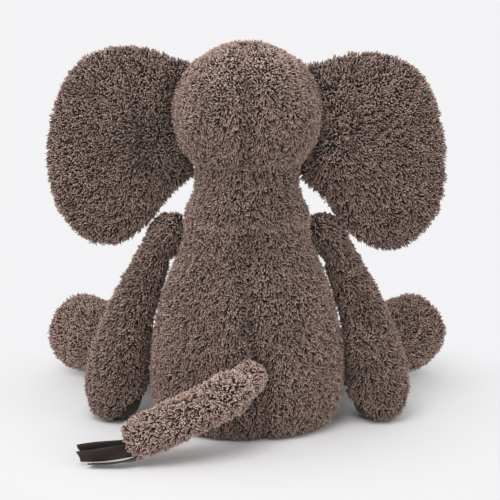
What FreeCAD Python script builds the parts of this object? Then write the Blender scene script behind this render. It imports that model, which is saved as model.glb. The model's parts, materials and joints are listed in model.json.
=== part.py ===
import FreeCAD, Part
import math
import os

# Stuffed elephant that sits on a flat seat, face towards -Y, tail towards +Y.
# Origin: centre of the flat seat underside.  +X is the elephant's own left.  Millimetres.
# Every soft piece is a fabric skin over its own filling.  Skins are cut from an outer form
# minus the same form inset by the fabric, and split along the seams of the sewing pattern.

os.makedirs("parts", exist_ok=True)
doc = FreeCAD.newDocument("stuffed_elephant")

# ---------------------------------------------------------------- driving dimensions
SIZES = [
    # cloth and seams
    ("fabric", 4.0),              # backing cloth with its pressed pile
    ("filling_gap", 0.3),         # filling stays this far inside its skin
    ("joint_gap", 0.4),           # room round each root ball in its socket
    # torso
    ("torso_width", 148.0),
    ("torso_depth", 122.0),
    ("torso_height", 172.0),
    ("seat_seam_height", 12.0),
    ("bean_bag_width", 92.0),
    ("bean_bag_height", 26.0),
    # neck and head
    ("neck_height", 185.0),
    ("neck_radius", 37.0),
    ("head_radius", 53.5),
    ("head_height", 237.0),
    ("gusset_width", 34.0),
    ("gusset_back", 6.0),
    # eyes
    ("eye_width", 11.0),
    ("eye_dome", 5.0),
    ("eye_shank", 4.0),
    ("eye_shank_length", 10.0),
    ("eye_washer_width", 13.0),
    ("eye_washer_thickness", 1.6),
    ("eye_washer_collar", 1.5),
    ("eye_fit", 0.2),
    ("eye_bearing", 36.0),
    ("eye_rise", 8.0),
    # ears
    ("ear_thickness", 18.0),
    ("ear_span", 110.0),
    ("ear_height", 150.0),
    ("ear_drop", 99.5),
    ("ear_forward_angle", 5.0),
    ("ear_gap", 1.6),
    ("ear_seam_rise", 40.0),        # top of the ear's seam above the head's centre
    ("ear_edge", 3.0),
    # trunk
    ("trunk_root_radius", 18.0),
    ("trunk_root_reach", 51.0),
    ("trunk_root_height", 220.0),
    ("trunk_bow", 4.0),             # how far the upper trunk bows forwards
    ("trunk_bend_radius", 14.0),
    ("trunk_bend_reach", 74.0),
    ("trunk_bend_height", 174.0),
    ("trunk_tip_radius", 10.5),
    ("trunk_tip_reach", 78.0),
    ("trunk_tip_height", 128.0),
    # arms
    ("shoulder_radius", 13.7),
    ("shoulder_gap", 0.85),         # the hanging arm widens below its root ball
    ("shoulder_side", 58.0),
    ("shoulder_height", 144.1),
    ("shoulder_reach", 12.0),
    ("wrist_radius", 20.0),
    ("paw_radius", 24.0),
    ("paw_side", 100.5),
    ("paw_reach", 3.0),
    ("paw_lift", 0.8),
    # legs
    ("hip_radius", 16.5),
    ("hip_side", 56.0),
    ("hip_reach", 42.0),
    ("hip_height", 27.0),
    ("leg_length", 132.0),
    ("leg_splay", 43.5),
    ("leg_radius", 24.5),
    ("foot_radius", 32.0),
    ("foot_lift", 1.2),
    # tail and tassel
    ("tail_radius", 15.0),
    ("tail_root_radius", 11.5),
    ("tail_side", 10.0),
    ("tail_root_height", 56.0),
    ("tail_end_side", 84.0),
    ("tail_end_back", 98.0),
    ("tail_lift", 1.0),
    ("tail_sag", 3.0),
    ("strip_width", 10.0),
    ("strip_thickness", 1.0),
    ("strip_length", 40.0),
    ("strip_bow_radius", 70.0),
]

sheet = doc.addObject("Spreadsheet::Sheet", "Sizes")
for row, (alias, value) in enumerate(SIZES, start=1):
    sheet.set("A%d" % row, alias)
    sheet.set("B%d" % row, str(value))
    sheet.setAlias("B%d" % row, alias)
doc.recompute()


def size(alias):
    """Number held in the sheet under this alias."""
    return float(getattr(sheet, alias))


def bind(obj, **rules):
    """Tie properties of an object to the sheet; '__' in a name stands for a dot."""
    for name, rule in rules.items():
        obj.setExpression(name.replace("__", "."), rule)
    return obj


def vec(x, y, z):
    return FreeCAD.Vector(x, y, z)


def facing(direction):
    """Rotation that turns +Z into this direction."""
    return FreeCAD.Rotation(vec(0, 0, 1), direction)


# ---------------------------------------------------------------- building blocks
def sphere(name, centre, radius_rule):
    ball = doc.addObject("Part::Sphere", name)
    bind(ball, Radius=radius_rule)
    ball.Placement.Base = centre
    return ball


def ring(name, centre, direction, radius_rule):
    """Circle of a loft, square to the spine."""
    circle = doc.addObject("Part::Circle", name)
    bind(circle, Radius=radius_rule)
    circle.Placement = FreeCAD.Placement(centre, facing(direction))
    return circle


def loft(name, sections):
    body = doc.addObject("Part::Loft", name)
    body.Sections = sections
    body.Solid = True
    body.Ruled = False
    return body


def fuse(name, shapes):
    joined = doc.addObject("Part::MultiFuse", name)
    joined.Shapes = shapes
    return joined


def cut(name, base, tool):
    result = doc.addObject("Part::Cut", name)
    result.Base = base
    result.Tool = tool
    return result


def common(name, base, tool):
    result = doc.addObject("Part::Common", name)
    result.Base = base
    result.Tool = tool
    return result


REACH = 2.0 * size("ear_height")     # half-space boxes are larger than any piece


def half_space(name, point, normal):
    """Large box whose lower face passes through the point, on the side of the normal."""
    box = doc.addObject("Part::Box", name)
    box.Length = 2 * REACH
    box.Width = 2 * REACH
    box.Height = REACH
    turn = facing(normal)
    box.Placement = FreeCAD.Placement(point + turn.multVec(vec(-REACH, -REACH, 0)), turn)
    return box


def between(start, end, share):
    return start + (end - start) * share


NECKING = 0.35                       # a limb's first circle lies on its root ball, this share out from the centre


def tube(name, ball, points, rules, inset_alias=()):
    """Stuffed limb: loft through circles along the points, rounded off by a root ball.

    The aliases name what the form is inset by: nothing, the fabric, or the fabric and the filling's gap.
    """
    centre, ball_rule = ball
    inset = sum(size(alias) for alias in inset_alias)
    inset_rule = "".join(" - Sizes." + alias for alias in inset_alias)
    ball_radius = size(ball_rule.split(".")[1]) - inset
    first = centre + (points[0] - centre).normalize() * (NECKING * ball_radius)
    last = points[-1] + (points[-2] - points[-1]).normalize() * inset
    spine = [first] + points[:-1] + [last]
    widths = ["(%s%s) * %.4f" % (ball_rule, inset_rule, math.sqrt(1 - NECKING ** 2))]
    widths += [rule + inset_rule for rule in rules]
    rings = []
    for number, (point, width) in enumerate(zip(spine, widths)):
        before = spine[max(number - 1, 0)]
        after = spine[min(number + 1, len(spine) - 1)]
        rings.append(ring("%s_ring_%d" % (name, number), point, after - before, width))
    shaft = loft(name + "_shaft", rings)
    root = sphere(name + "_root", centre, ball_rule + inset_rule)
    return fuse(name, [shaft, root])


def stuffed_tube(name, ball, points, rules):
    """Skin and filling of one stuffed limb that hangs on a root ball."""
    outer = tube(name + "_outer", ball, points, rules)
    inner = tube(name + "_inner", ball, points, rules, ("fabric",))
    core = tube(name + "_core", ball, points, rules, ("fabric", "filling_gap"))
    skin = cut(name + "_skin", outer, inner)
    return skin, core


pieces = []                          # finished sub-parts


def piece(obj, label):
    obj.Label = label
    pieces.append(obj)
    return obj


FABRIC = "Sizes.fabric"
FILLING = "Sizes.fabric + Sizes.filling_gap"


# ---------------------------------------------------------------- joint centres
NECK = vec(0, 0, size("neck_height"))
HEAD = vec(0, 0, size("head_height"))
TRUNK = vec(0, -size("trunk_root_reach"), size("trunk_root_height"))
BEND = vec(0, -size("trunk_bend_reach"), size("trunk_bend_height"))


def shoulder(side):
    return vec(side * size("shoulder_side"), -size("shoulder_reach"), size("shoulder_height"))


def hip(side):
    return vec(side * size("hip_side"), -size("hip_reach"), size("hip_height"))


# The pear's cross-sections: (share of the height, share of the width and depth).
PEAR = [(0.0, 0.84), (0.06, 0.945), (0.26, 1.0), (0.52, 0.915), (0.76, 0.71), (1.0, 0.57)]


def pear_share(height):
    """Share of the full width at a height, straight between the cross-sections."""
    share = height / size("torso_height")
    for (low, wide), (high, narrow) in zip(PEAR, PEAR[1:]):
        if share <= high:
            return wide + (narrow - wide) * (share - low) / (high - low)
    return PEAR[-1][1]


TAIL = vec(-size("tail_side"), size("torso_depth") / 2 * pear_share(size("tail_root_height")) + size("joint_gap"),
           size("tail_root_height"))


# ---------------------------------------------------------------- torso
def pear(name, inset, floor_rule, top_rule):
    """Pear-shaped solid, inset all round, between two heights."""
    sections = []
    for number, (height_share, width_share) in enumerate(PEAR):
        section = doc.addObject("Part::Ellipse", "%s_section_%d" % (name, number))
        bind(section,
             MajorRadius="Sizes.torso_width / 2 * %s - (%s)" % (width_share, inset),
             MinorRadius="Sizes.torso_depth / 2 * %s - (%s)" % (width_share, inset))
        span = "(%s) + ((%s) - (%s)) * %s" % (floor_rule, top_rule, floor_rule, height_share)
        bind(section, Placement__Base__z=span)
        sections.append(section)
    return loft(name, sections)


torso_outer = pear("torso_outer", "0", "0", "Sizes.torso_height")
torso_inner = pear("torso_inner", FABRIC, FABRIC, "Sizes.torso_height + Sizes.fabric")
torso_core = pear("torso_core", FILLING, FILLING, "Sizes.torso_height + Sizes.fabric")

GAP = "Sizes.joint_gap"
sockets = [sphere("neck_socket", NECK, "Sizes.neck_radius + " + GAP),
           sphere("tail_socket", TAIL, "Sizes.tail_root_radius + " + GAP)]
for side, hand in ((1, "left"), (-1, "right")):
    sockets.append(sphere("shoulder_socket_" + hand, shoulder(side), "Sizes.shoulder_radius + Sizes.shoulder_gap"))
    sockets.append(sphere("hip_socket_" + hand, hip(side), "Sizes.hip_radius + " + GAP))
torso_sockets = fuse("torso_sockets", sockets)

torso_shell = cut("torso_shell", torso_outer, torso_inner)
torso_skin = cut("torso_skin", torso_shell, torso_sockets)
seat_seam = vec(0, 0, size("seat_seam_height"))
above_seat = half_space("above_seat_seam", seat_seam, vec(0, 0, 1))
behind = half_space("behind_side_seams", vec(0, 0, 0), vec(0, 1, 0))
torso_upper = common("torso_upper", torso_skin, above_seat)
torso_back = common("torso_back", torso_upper, behind)
left_half = half_space("left_half", vec(0, 0, 0), vec(1, 0, 0))

piece(cut("seat_panel", torso_skin, above_seat), "seat")
piece(cut("belly_panel", torso_upper, behind), "belly")
piece(common("back_left_panel", torso_back, left_half), "back_left")
piece(cut("back_right_panel", torso_back, left_half), "back_right")

# Flat pouch of beads that lies in the seat and keeps the toy upright.
def bean_form(name, room):
    pouch = doc.addObject("Part::Ellipsoid", name)
    bind(pouch,
         Radius1="Sizes.bean_bag_height / 2 + " + room,
         Radius2="Sizes.bean_bag_width / 2 + " + room,
         Radius3="Sizes.bean_bag_width / 2 * Sizes.torso_depth / Sizes.torso_width + " + room,
         Placement__Base__z="Sizes.fabric + 2 * Sizes.filling_gap + Sizes.bean_bag_height / 2")
    return pouch


piece(bean_form("bean_pouch", "0"), "bean_bag")
bean_hollow = bean_form("bean_hollow", "Sizes.filling_gap")
above_rim = half_space("above_rim", vec(0, 0, size("torso_height") - size("filling_gap")), vec(0, 0, 1))
torso_hollows = fuse("torso_hollows", [torso_sockets, bean_hollow, above_rim])
piece(cut("torso_fibre", torso_core, torso_hollows), "torso_filling")


# ---------------------------------------------------------------- neck
neck_outer = sphere("neck_outer", NECK, "Sizes.neck_radius")
neck_inner = sphere("neck_inner", NECK, "Sizes.neck_radius - Sizes.fabric")
piece(cut("neck_skin", neck_outer, neck_inner), "neck_cover")
piece(sphere("neck_fibre", NECK, "Sizes.neck_radius - Sizes.fabric - Sizes.filling_gap"), "neck_filling")


# ---------------------------------------------------------------- head
def eye_direction(side):
    """Unit vector from the head's centre out through an eye."""
    bearing = math.radians(size("eye_bearing"))
    rise = math.radians(size("eye_rise"))
    return vec(side * math.sin(bearing) * math.cos(rise), -math.cos(bearing) * math.cos(rise), math.sin(rise))


def cylinder(name, start, direction, radius_rule, height_rule):
    rod = doc.addObject("Part::Cylinder", name)
    bind(rod, Radius=radius_rule, Height=height_rule)
    rod.Placement = FreeCAD.Placement(start, facing(direction))
    return rod


head_outer = sphere("head_outer", HEAD, "Sizes.head_radius")
head_inner = sphere("head_inner", HEAD, "Sizes.head_radius - Sizes.fabric")
head_core = sphere("head_core", HEAD, "Sizes.head_radius - Sizes.fabric - Sizes.filling_gap")
neck_seat = sphere("head_neck_socket", NECK, "Sizes.neck_radius + " + GAP)
trunk_seat = sphere("head_trunk_socket", TRUNK, "Sizes.trunk_root_radius + " + GAP)
eye_holes = []
eye_pockets = []
pocket_depth = size("eye_shank_length") + size("filling_gap")
for side, hand in ((1, "left"), (-1, "right")):
    outward = eye_direction(side)
    deep = HEAD + outward * (size("head_radius") - pocket_depth)
    eye_holes.append(cylinder("eye_hole_" + hand, deep, outward,
                              "Sizes.eye_shank / 2 + Sizes.eye_fit", "2 * Sizes.eye_shank_length"))
    eye_pockets.append(cylinder("eye_pocket_" + hand, deep, outward,
                                "Sizes.eye_washer_width / 2 + Sizes.filling_gap", "Sizes.eye_shank_length"))
head_openings = fuse("head_openings", [neck_seat, trunk_seat] + eye_holes)
head_shell = cut("head_shell", head_outer, head_inner)
head_skin = cut("head_skin", head_shell, head_openings)

# The gusset runs from the crown down the forehead to the trunk.
gusset_box = doc.addObject("Part::Box", "gusset_region")
bind(gusset_box,
     Length="Sizes.gusset_width",
     Width="2 * Sizes.head_radius",
     Height="2 * Sizes.head_radius",
     Placement__Base__x="-Sizes.gusset_width / 2",
     Placement__Base__y="-2 * Sizes.head_radius - Sizes.gusset_back",
     Placement__Base__z="Sizes.trunk_root_height")
piece(common("gusset_panel", head_skin, gusset_box), "forehead_gusset")
head_sides = cut("head_sides", head_skin, gusset_box)
piece(common("head_left_panel", head_sides, left_half), "head_left")
piece(cut("head_right_panel", head_sides, left_half), "head_right")
head_hollows = fuse("head_hollows", [neck_seat, trunk_seat] + eye_pockets)
piece(cut("head_fibre", head_core, head_hollows), "head_filling")


# ---------------------------------------------------------------- safety eyes
def body_plane(body, role):
    """One of a body's own origin planes."""
    for feature in body.Origin.OriginFeatures:
        if feature.Role == role:
            return feature
    raise ValueError(role)


def revolved_body(name, profile, placement):
    """PartDesign body: closed profile of (radius, height) points turned about its own Z."""
    body = doc.addObject("PartDesign::Body", name)
    sketch = body.newObject("Sketcher::SketchObject", name + "_profile")
    sketch.AttachmentSupport = [(body_plane(body, "XZ_Plane"), "")]
    sketch.MapMode = "FlatFace"
    corners = [vec(radius, height, 0) for radius, height in profile]
    for start, end in zip(corners, corners[1:] + corners[:1]):
        sketch.addGeometry(Part.LineSegment(start, end), False)
    turned = body.newObject("PartDesign::Revolution", name + "_turned")
    turned.Profile = sketch
    turned.ReferenceAxis = (sketch, ["V_Axis"])
    turned.Angle = 360.0
    body.Tip = turned
    body.Placement = placement
    return body


# Dome as a few chords of a flattened quarter circle, a flange, and a shank with ratchet rings.
DOME_STEPS = 6
SHANK_RINGS = 3


def eye_profile():
    half = size("eye_width") / 2
    dome = size("eye_dome")
    shank = size("eye_shank") / 2
    length = size("eye_shank_length")
    groove = shank / 6
    points = []
    for step in range(DOME_STEPS + 1):
        angle = math.radians(90.0 * step / DOME_STEPS)
        points.append((half * math.sin(angle), dome * math.cos(angle)))
    pitch = (length - size("fabric")) / (2 * SHANK_RINGS + 1)
    points.append((shank, 0.0))
    level = -size("fabric") - pitch
    for _ in range(SHANK_RINGS):
        points.append((shank, level))
        points.append((shank - groove, level - pitch / 4))
        points.append((shank - groove, level - pitch))
        points.append((shank, level - 1.25 * pitch))
        level -= 1.75 * pitch
    points.append((shank, -length + groove))
    points.append((shank - groove, -length))
    points.append((0.0, -length))
    return points


def washer_profile():
    bore = size("eye_shank") / 2 + size("eye_fit")
    rim = size("eye_washer_width") / 2
    thick = size("eye_washer_thickness")
    collar = size("eye_washer_collar")
    return [(bore, 0.0), (rim, 0.0), (rim, -thick / 2), (bore + collar, -thick), (bore, -thick)]


for side, hand in ((1, "left"), (-1, "right")):
    outward = eye_direction(side)
    seat_point = HEAD + outward * size("head_radius")
    lining_radius = size("head_radius") - size("fabric")
    washer_depth = math.sqrt(lining_radius ** 2 - (size("eye_washer_width") / 2) ** 2) - size("eye_fit")
    washer_point = HEAD + outward * washer_depth
    turn = facing(outward)
    piece(revolved_body("eye_body_" + hand, eye_profile(),
                        FreeCAD.Placement(seat_point + outward * size("eye_fit"), turn)), "eye_" + hand)
    piece(revolved_body("washer_body_" + hand, washer_profile(),
                        FreeCAD.Placement(washer_point, turn)), "eye_washer_" + hand)


# ---------------------------------------------------------------- ears
# Outline of the left ear: (share of the span from the root, share of the height from the lowest point).
# Its first two points stay by the seam on the head: (share of the span, mm above the seam's top).
EAR_SEAM_TOP = [(0.085, 0.0), (0.20, 5.25)]
EAR_OUTLINE = [(0.46, 1.0), (0.75, 0.92), (0.94, 0.70), (1.0, 0.46), (0.93, 0.22),
               (0.74, 0.05), (0.54, 0.0), (0.365, 0.06), (0.235, 0.165), (0.10, 0.28), (0.0, 0.355)]


def ear_points(shrink):
    """Ear outline in the plane of the head's axis; its root follows the head's curve."""
    root_radius = size("head_radius") + size("ear_gap")
    inner = root_radius - size("ear_span") * 0.14
    foot = size("head_height") - size("ear_drop")
    points = []
    for across, above in EAR_SEAM_TOP:
        points.append(vec(inner + across * size("ear_span"), 0,
                          size("head_height") + size("ear_seam_rise") + above))
    for across, up in EAR_OUTLINE:
        points.append(vec(inner + across * size("ear_span"), 0, foot + up * size("ear_height")))
    for angle in (-33, -17, 0, 17, 30, 40):
        turn = math.radians(angle)
        points.append(HEAD + vec(math.cos(turn), 0, math.sin(turn)) * root_radius)
    middle = vec(inner + 0.52 * size("ear_span"), 0, foot + 0.52 * size("ear_height"))
    half_wide = 0.5 * size("ear_span")
    half_tall = 0.5 * size("ear_height")
    drawn = []
    for point in points:
        offset = point - middle
        drawn.append(middle + vec(offset.x * (1 - shrink / half_wide), 0, offset.z * (1 - shrink / half_tall)))
    return drawn


def ear_wire(name, shrink, depth):
    curve = Part.BSplineCurve()
    curve.interpolate(Points=ear_points(shrink), PeriodicFlag=True)
    wire = doc.addObject("Part::Feature", name)
    wire.Shape = Part.Wire([curve.toShape()])
    wire.Placement = FreeCAD.Placement(vec(0, depth, 0), FreeCAD.Rotation())
    return wire


def ear_cushion(name, inset):
    """Cushion through three outlines: full at the seam, drawn in at both faces."""
    half = size("ear_thickness") / 2 - inset
    bulge = (size("ear_thickness") / 2) ** 2 / (2 * size("ear_edge"))
    return loft(name, [ear_wire(name + "_front", inset + bulge, -half),
                       ear_wire(name + "_seam", inset, 0.0),
                       ear_wire(name + "_rear", inset + bulge, half)])


for side, hand in ((1, "left"), (-1, "right")):
    outer = ear_cushion("ear_outer_" + hand, 0.0)
    inner = ear_cushion("ear_inner_" + hand, size("fabric"))
    core = ear_cushion("ear_core_" + hand, size("fabric") + size("filling_gap"))
    skin = cut("ear_skin_" + hand, outer, inner)
    # The right ear is the left one turned half a turn, so its rear side is the other one.
    rear = half_space("ear_rear_side_" + hand, vec(0, 0, 0), vec(0, side, 0))
    back = common("ear_back_panel_" + hand, skin, rear)
    lining = cut("ear_lining_panel_" + hand, skin, rear)
    half_turn = 0.0 if side > 0 else 180.0
    turn = FreeCAD.Rotation(vec(0, 0, 1), half_turn - side * size("ear_forward_angle"))
    for solid, label in ((back, "ear_back_"), (lining, "ear_lining_"), (core, "ear_padding_")):
        solid.Placement = FreeCAD.Placement(vec(0, 0, 0), turn)
        piece(solid, label + hand)


# ---------------------------------------------------------------- limbs
# Arms hang from the shoulders, bow outwards and end in a round paw on the floor.
for side, hand in ((1, "left"), (-1, "right")):
    top = shoulder(side)
    paw_floor = size("paw_lift")
    paw_line = vec(side * size("paw_side"), -size("paw_reach"), 0)
    drop = top.z - paw_floor
    spread = size("paw_side") - size("shoulder_side")
    advance = size("shoulder_reach") - size("paw_reach")
    # (share of the drop, share of the sideways spread)
    line = [(0.12, 0.30), (0.26, 0.51), (0.49, 0.80), (0.68, 0.93), (0.83, 1.0), (0.945, 1.0), (1.0, 1.0)]
    points = []
    for fall, across in line:
        points.append(vec(side * (size("shoulder_side") + across * spread),
                          -size("shoulder_reach") + across * advance,
                          top.z - fall * drop))
    rules = ["Sizes.shoulder_radius * 0.95",
             "Sizes.shoulder_radius * 1.12",
             "Sizes.wrist_radius * 0.94",
             "Sizes.paw_radius * 0.95",
             "Sizes.paw_radius",
             "Sizes.paw_radius * 0.82",
             "Sizes.paw_radius * 0.5"]
    skin, core = stuffed_tube("arm_" + hand, (top, "Sizes.shoulder_radius"), points, rules)
    # The oval pad closes the paw; it looks down, inwards and a little back.
    pad_normal = vec(-0.42 * side, 0.30, -0.86)
    pad_point = vec(paw_line.x, paw_line.y, 0) + vec(0, 0, size("paw_radius")) + pad_normal * size("paw_radius") * 0.62
    pad_side = half_space("paw_pad_side_" + hand, pad_point, pad_normal)
    sleeve = cut("arm_sleeve_" + hand, skin, pad_side)
    front = half_space("arm_front_side_" + hand, vec(0, -(size("shoulder_reach") + size("paw_reach")) / 2, 0),
                       vec(0, -1, 0))
    piece(common("arm_front_panel_" + hand, sleeve, front), "arm_front_" + hand)
    piece(cut("arm_back_panel_" + hand, sleeve, front), "arm_back_" + hand)
    piece(common("paw_pad_panel_" + hand, skin, pad_side), "paw_pad_" + hand)
    piece(core, "arm_filling_" + hand)

# Legs lie forwards and outwards from the hips; the soles face away.
for side, hand in ((1, "left"), (-1, "right")):
    root = hip(side)
    splay = math.radians(size("leg_splay"))
    length = size("leg_length")
    rise = size("foot_radius") + size("foot_lift") - size("hip_height")
    along = vec(side * math.sin(splay) * length, -math.cos(splay) * length, rise)
    # (share of the length, radius rule)
    profile = [(0.16, "Sizes.leg_radius * 0.79"),
               (0.32, "Sizes.leg_radius * 0.97"),
               (0.56, "Sizes.leg_radius"),
               (0.76, "Sizes.foot_radius * 0.93"),
               (0.90, "Sizes.foot_radius"),
               (0.97, "Sizes.foot_radius * 0.96"),
               (1.0, "Sizes.foot_radius * 0.85")]
    points = [root + along * share for share, _ in profile]
    rules = [rule for _, rule in profile]
    skin, core = stuffed_tube("leg_" + hand, (root, "Sizes.hip_radius"), points, rules)
    unit = vec(along.x, along.y, along.z).normalize()
    sole_side = half_space("sole_side_" + hand, root + along * 0.94, unit)
    stocking = cut("leg_stocking_" + hand, skin, sole_side)
    inward = vec(-side * math.cos(splay), -math.sin(splay), 0)
    inner_half = half_space("leg_inner_side_" + hand, root, inward)
    piece(common("leg_inner_panel_" + hand, stocking, inner_half), "leg_inner_" + hand)
    piece(cut("leg_outer_panel_" + hand, stocking, inner_half), "leg_outer_" + hand)
    piece(common("sole_panel_" + hand, skin, sole_side), "sole_" + hand)
    piece(core, "leg_filling_" + hand)


# ---------------------------------------------------------------- trunk
trunk_end = vec(0, -size("trunk_tip_reach"), size("trunk_tip_height"))
upper_points = [between(TRUNK, BEND, share) + vec(0, bow, 0) for share, bow in ((0.5, -size("trunk_bow")), (1.0, 0.0))]
upper_rules = ["Sizes.trunk_root_radius * 0.3 + Sizes.trunk_bend_radius * 0.7",
               "Sizes.trunk_bend_radius"]
trunk_skin, trunk_core = stuffed_tube("trunk", (TRUNK, "Sizes.trunk_root_radius"), upper_points, upper_rules)
bend_socket = sphere("trunk_bend_socket", BEND, "Sizes.trunk_bend_radius + " + GAP)
bend_cap = half_space("trunk_bend_cap", between(TRUNK, BEND, 0.92), BEND - TRUNK)
bend_clear = fuse("trunk_bend_clear", [bend_socket, bend_cap])
trunk_tube = cut("trunk_tube", trunk_skin, bend_clear)
piece(common("trunk_left_panel", trunk_tube, left_half), "trunk_left")
piece(cut("trunk_right_panel", trunk_tube, left_half), "trunk_right")
piece(cut("trunk_fibre", trunk_core, bend_clear), "trunk_filling")

tip_points = [between(BEND, trunk_end, share) for share in (0.5, 0.88, 1.0)]
tip_rules = ["Sizes.trunk_bend_radius * 0.45 + Sizes.trunk_tip_radius * 0.55",
             "Sizes.trunk_tip_radius",
             "Sizes.trunk_tip_radius * 0.7"]
tip_skin, tip_core = stuffed_tube("trunk_tip", (BEND, "Sizes.trunk_bend_radius"), tip_points, tip_rules)
piece(common("trunk_tip_left_panel", tip_skin, left_half), "trunk_tip_left")
piece(cut("trunk_tip_right_panel", tip_skin, left_half), "trunk_tip_right")
piece(tip_core, "trunk_tip_filling")


# ---------------------------------------------------------------- tail
def curve_point(start, pull, end, share):
    """Point on the curve that leaves the start towards the pull and comes to the end."""
    return start * (1 - share) ** 2 + pull * (2 * share * (1 - share)) + end * share ** 2


tail_end = vec(size("tail_end_side"), size("tail_end_back"), size("tail_radius") + size("tail_lift"))
tail_pull = vec(TAIL.x + 0.16 * (tail_end.x - TAIL.x), tail_end.y, TAIL.z - size("tail_sag"))
tail_points = [curve_point(TAIL, tail_pull, tail_end, share) for share in (0.13, 0.30, 0.50, 0.70, 0.92, 1.0)]
tail_rules = ["Sizes.tail_root_radius * 0.88",
              "Sizes.tail_radius",
              "Sizes.tail_radius",
              "Sizes.tail_radius",
              "Sizes.tail_radius * 0.97",
              "Sizes.tail_radius * 0.84"]
tail_skin, tail_core = stuffed_tube("tail", (TAIL, "Sizes.tail_root_radius"), tail_points, tail_rules)
# The tail's line lies in one plane, and its two long seams run in it.
tail_seams = (tail_pull - TAIL).cross(tail_end - TAIL).normalize()
tail_upside = half_space("tail_upper_side", TAIL, tail_seams if tail_seams.z > 0 else tail_seams * -1)
piece(common("tail_upper_panel", tail_skin, tail_upside), "tail_upper")
piece(cut("tail_lower_panel", tail_skin, tail_upside), "tail_lower")
piece(tail_core, "tail_filling")

# Tassel: arched strips of suedette sewn into the tail's end.
tail_heading = math.degrees(math.atan2(tail_end.y - tail_points[-2].y, tail_end.x - tail_points[-2].x))
strip_arc = math.degrees(size("strip_length") / size("strip_bow_radius"))
STRIP_STEP = size("strip_thickness") + 0.6
tail_way = vec(math.cos(math.radians(tail_heading)), math.sin(math.radians(tail_heading)), 0)
TASSEL = tail_end + tail_way * size("joint_gap")


def strip(number, spread_angle, root_height, tilt):
    """One strip: a slice of a thin tube wall, root at the tail's end."""
    name = "strip_%d" % number
    outer = doc.addObject("Part::Cylinder", name + "_outer")
    bind(outer, Radius="Sizes.strip_bow_radius", Height="Sizes.strip_width")
    outer.Angle = strip_arc
    inner = doc.addObject("Part::Cylinder", name + "_inner")
    bind(inner, Radius="Sizes.strip_bow_radius - Sizes.strip_thickness", Height="Sizes.strip_width")
    inner.Angle = strip_arc
    arch = cut(name, outer, inner)
    bow = size("strip_bow_radius")
    # The slice starts at the tube's +X side; lay it so that it leaves along +X and bows down.
    lay = FreeCAD.Rotation(vec(1, 0, 0), 90)
    start = FreeCAD.Placement(vec(0, size("strip_width") / 2, -bow), FreeCAD.Rotation())
    quarter = FreeCAD.Placement(vec(0, 0, 0), FreeCAD.Rotation(vec(0, 1, 0), -90 + strip_arc))
    upright = FreeCAD.Placement(vec(0, 0, 0), lay)
    aim = FreeCAD.Rotation(vec(0, 0, 1), tail_heading + spread_angle)
    lean = FreeCAD.Rotation(vec(0, 1, 0), tilt)
    root = vec(TASSEL.x, TASSEL.y, root_height)
    arch.Placement = FreeCAD.Placement(root, aim * lean) * start * quarter * upright
    return arch


# (sideways angle, level in the bundle, upward tilt) of each strip
for number, (spread_angle, level, tilt) in enumerate(((8, -2, 0), (-9, -1, -3), (0, 0, -7)), start=1):
    piece(strip(number, spread_angle, TASSEL.z + level * STRIP_STEP, tilt), "tassel_strip_%d" % number)


# ---------------------------------------------------------------- check and write
doc.recompute()
for obj in doc.Objects:
    bad = [state for state in obj.State if state in ("Invalid", "Error")]
    if bad:
        raise RuntimeError("%s: %s" % (obj.Name, bad))
for obj in pieces:
    shape = obj.Shape
    if shape.isNull() or not shape.isValid() or shape.Volume <= 0:
        raise RuntimeError("no valid solid: " + obj.Label)
    print("%-22s solids %d  volume %9.1f" % (obj.Label, len(shape.Solids), shape.Volume))
for obj in pieces:
    obj.Shape.exportStep("parts/%s.step" % obj.Label)
print(len(pieces), "pieces")
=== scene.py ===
# %% [markdown]
# # A stuffed elephant in curly pile
# The toy is built on a frame that already holds every seam, joint and size. This lesson only gives it its
# looks: plump cloth skins, a curly pile of yarn tufts, smooth suedette on the paws, soles, ears and tassel,
# and glossy eyes.
# %% Load the frame
import json
import math

import bmesh
import bpy
import numpy as np
from mathutils import Matrix, Vector
from mathutils.bvhtree import BVHTree
from mathutils.kdtree import KDTree

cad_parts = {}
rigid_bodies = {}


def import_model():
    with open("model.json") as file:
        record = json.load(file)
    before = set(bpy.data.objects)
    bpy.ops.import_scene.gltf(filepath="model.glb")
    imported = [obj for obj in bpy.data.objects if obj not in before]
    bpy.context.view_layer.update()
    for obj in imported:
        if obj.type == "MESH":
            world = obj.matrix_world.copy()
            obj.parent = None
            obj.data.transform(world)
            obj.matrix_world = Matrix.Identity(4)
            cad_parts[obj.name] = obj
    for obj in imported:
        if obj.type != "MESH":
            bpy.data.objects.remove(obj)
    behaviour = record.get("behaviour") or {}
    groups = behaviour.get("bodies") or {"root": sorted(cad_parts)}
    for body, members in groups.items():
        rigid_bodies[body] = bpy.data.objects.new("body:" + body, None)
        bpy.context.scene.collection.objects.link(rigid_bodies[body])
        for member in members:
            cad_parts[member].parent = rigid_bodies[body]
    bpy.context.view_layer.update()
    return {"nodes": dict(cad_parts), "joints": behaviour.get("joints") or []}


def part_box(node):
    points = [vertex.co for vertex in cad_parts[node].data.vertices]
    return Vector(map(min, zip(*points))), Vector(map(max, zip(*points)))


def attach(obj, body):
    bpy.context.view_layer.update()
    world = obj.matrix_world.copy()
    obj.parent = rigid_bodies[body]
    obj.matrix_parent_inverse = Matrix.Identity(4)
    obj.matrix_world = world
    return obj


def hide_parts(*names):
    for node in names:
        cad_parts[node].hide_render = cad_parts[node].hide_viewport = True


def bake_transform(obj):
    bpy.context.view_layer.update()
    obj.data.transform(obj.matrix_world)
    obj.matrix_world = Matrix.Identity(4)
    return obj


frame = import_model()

MM = 0.001

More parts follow.
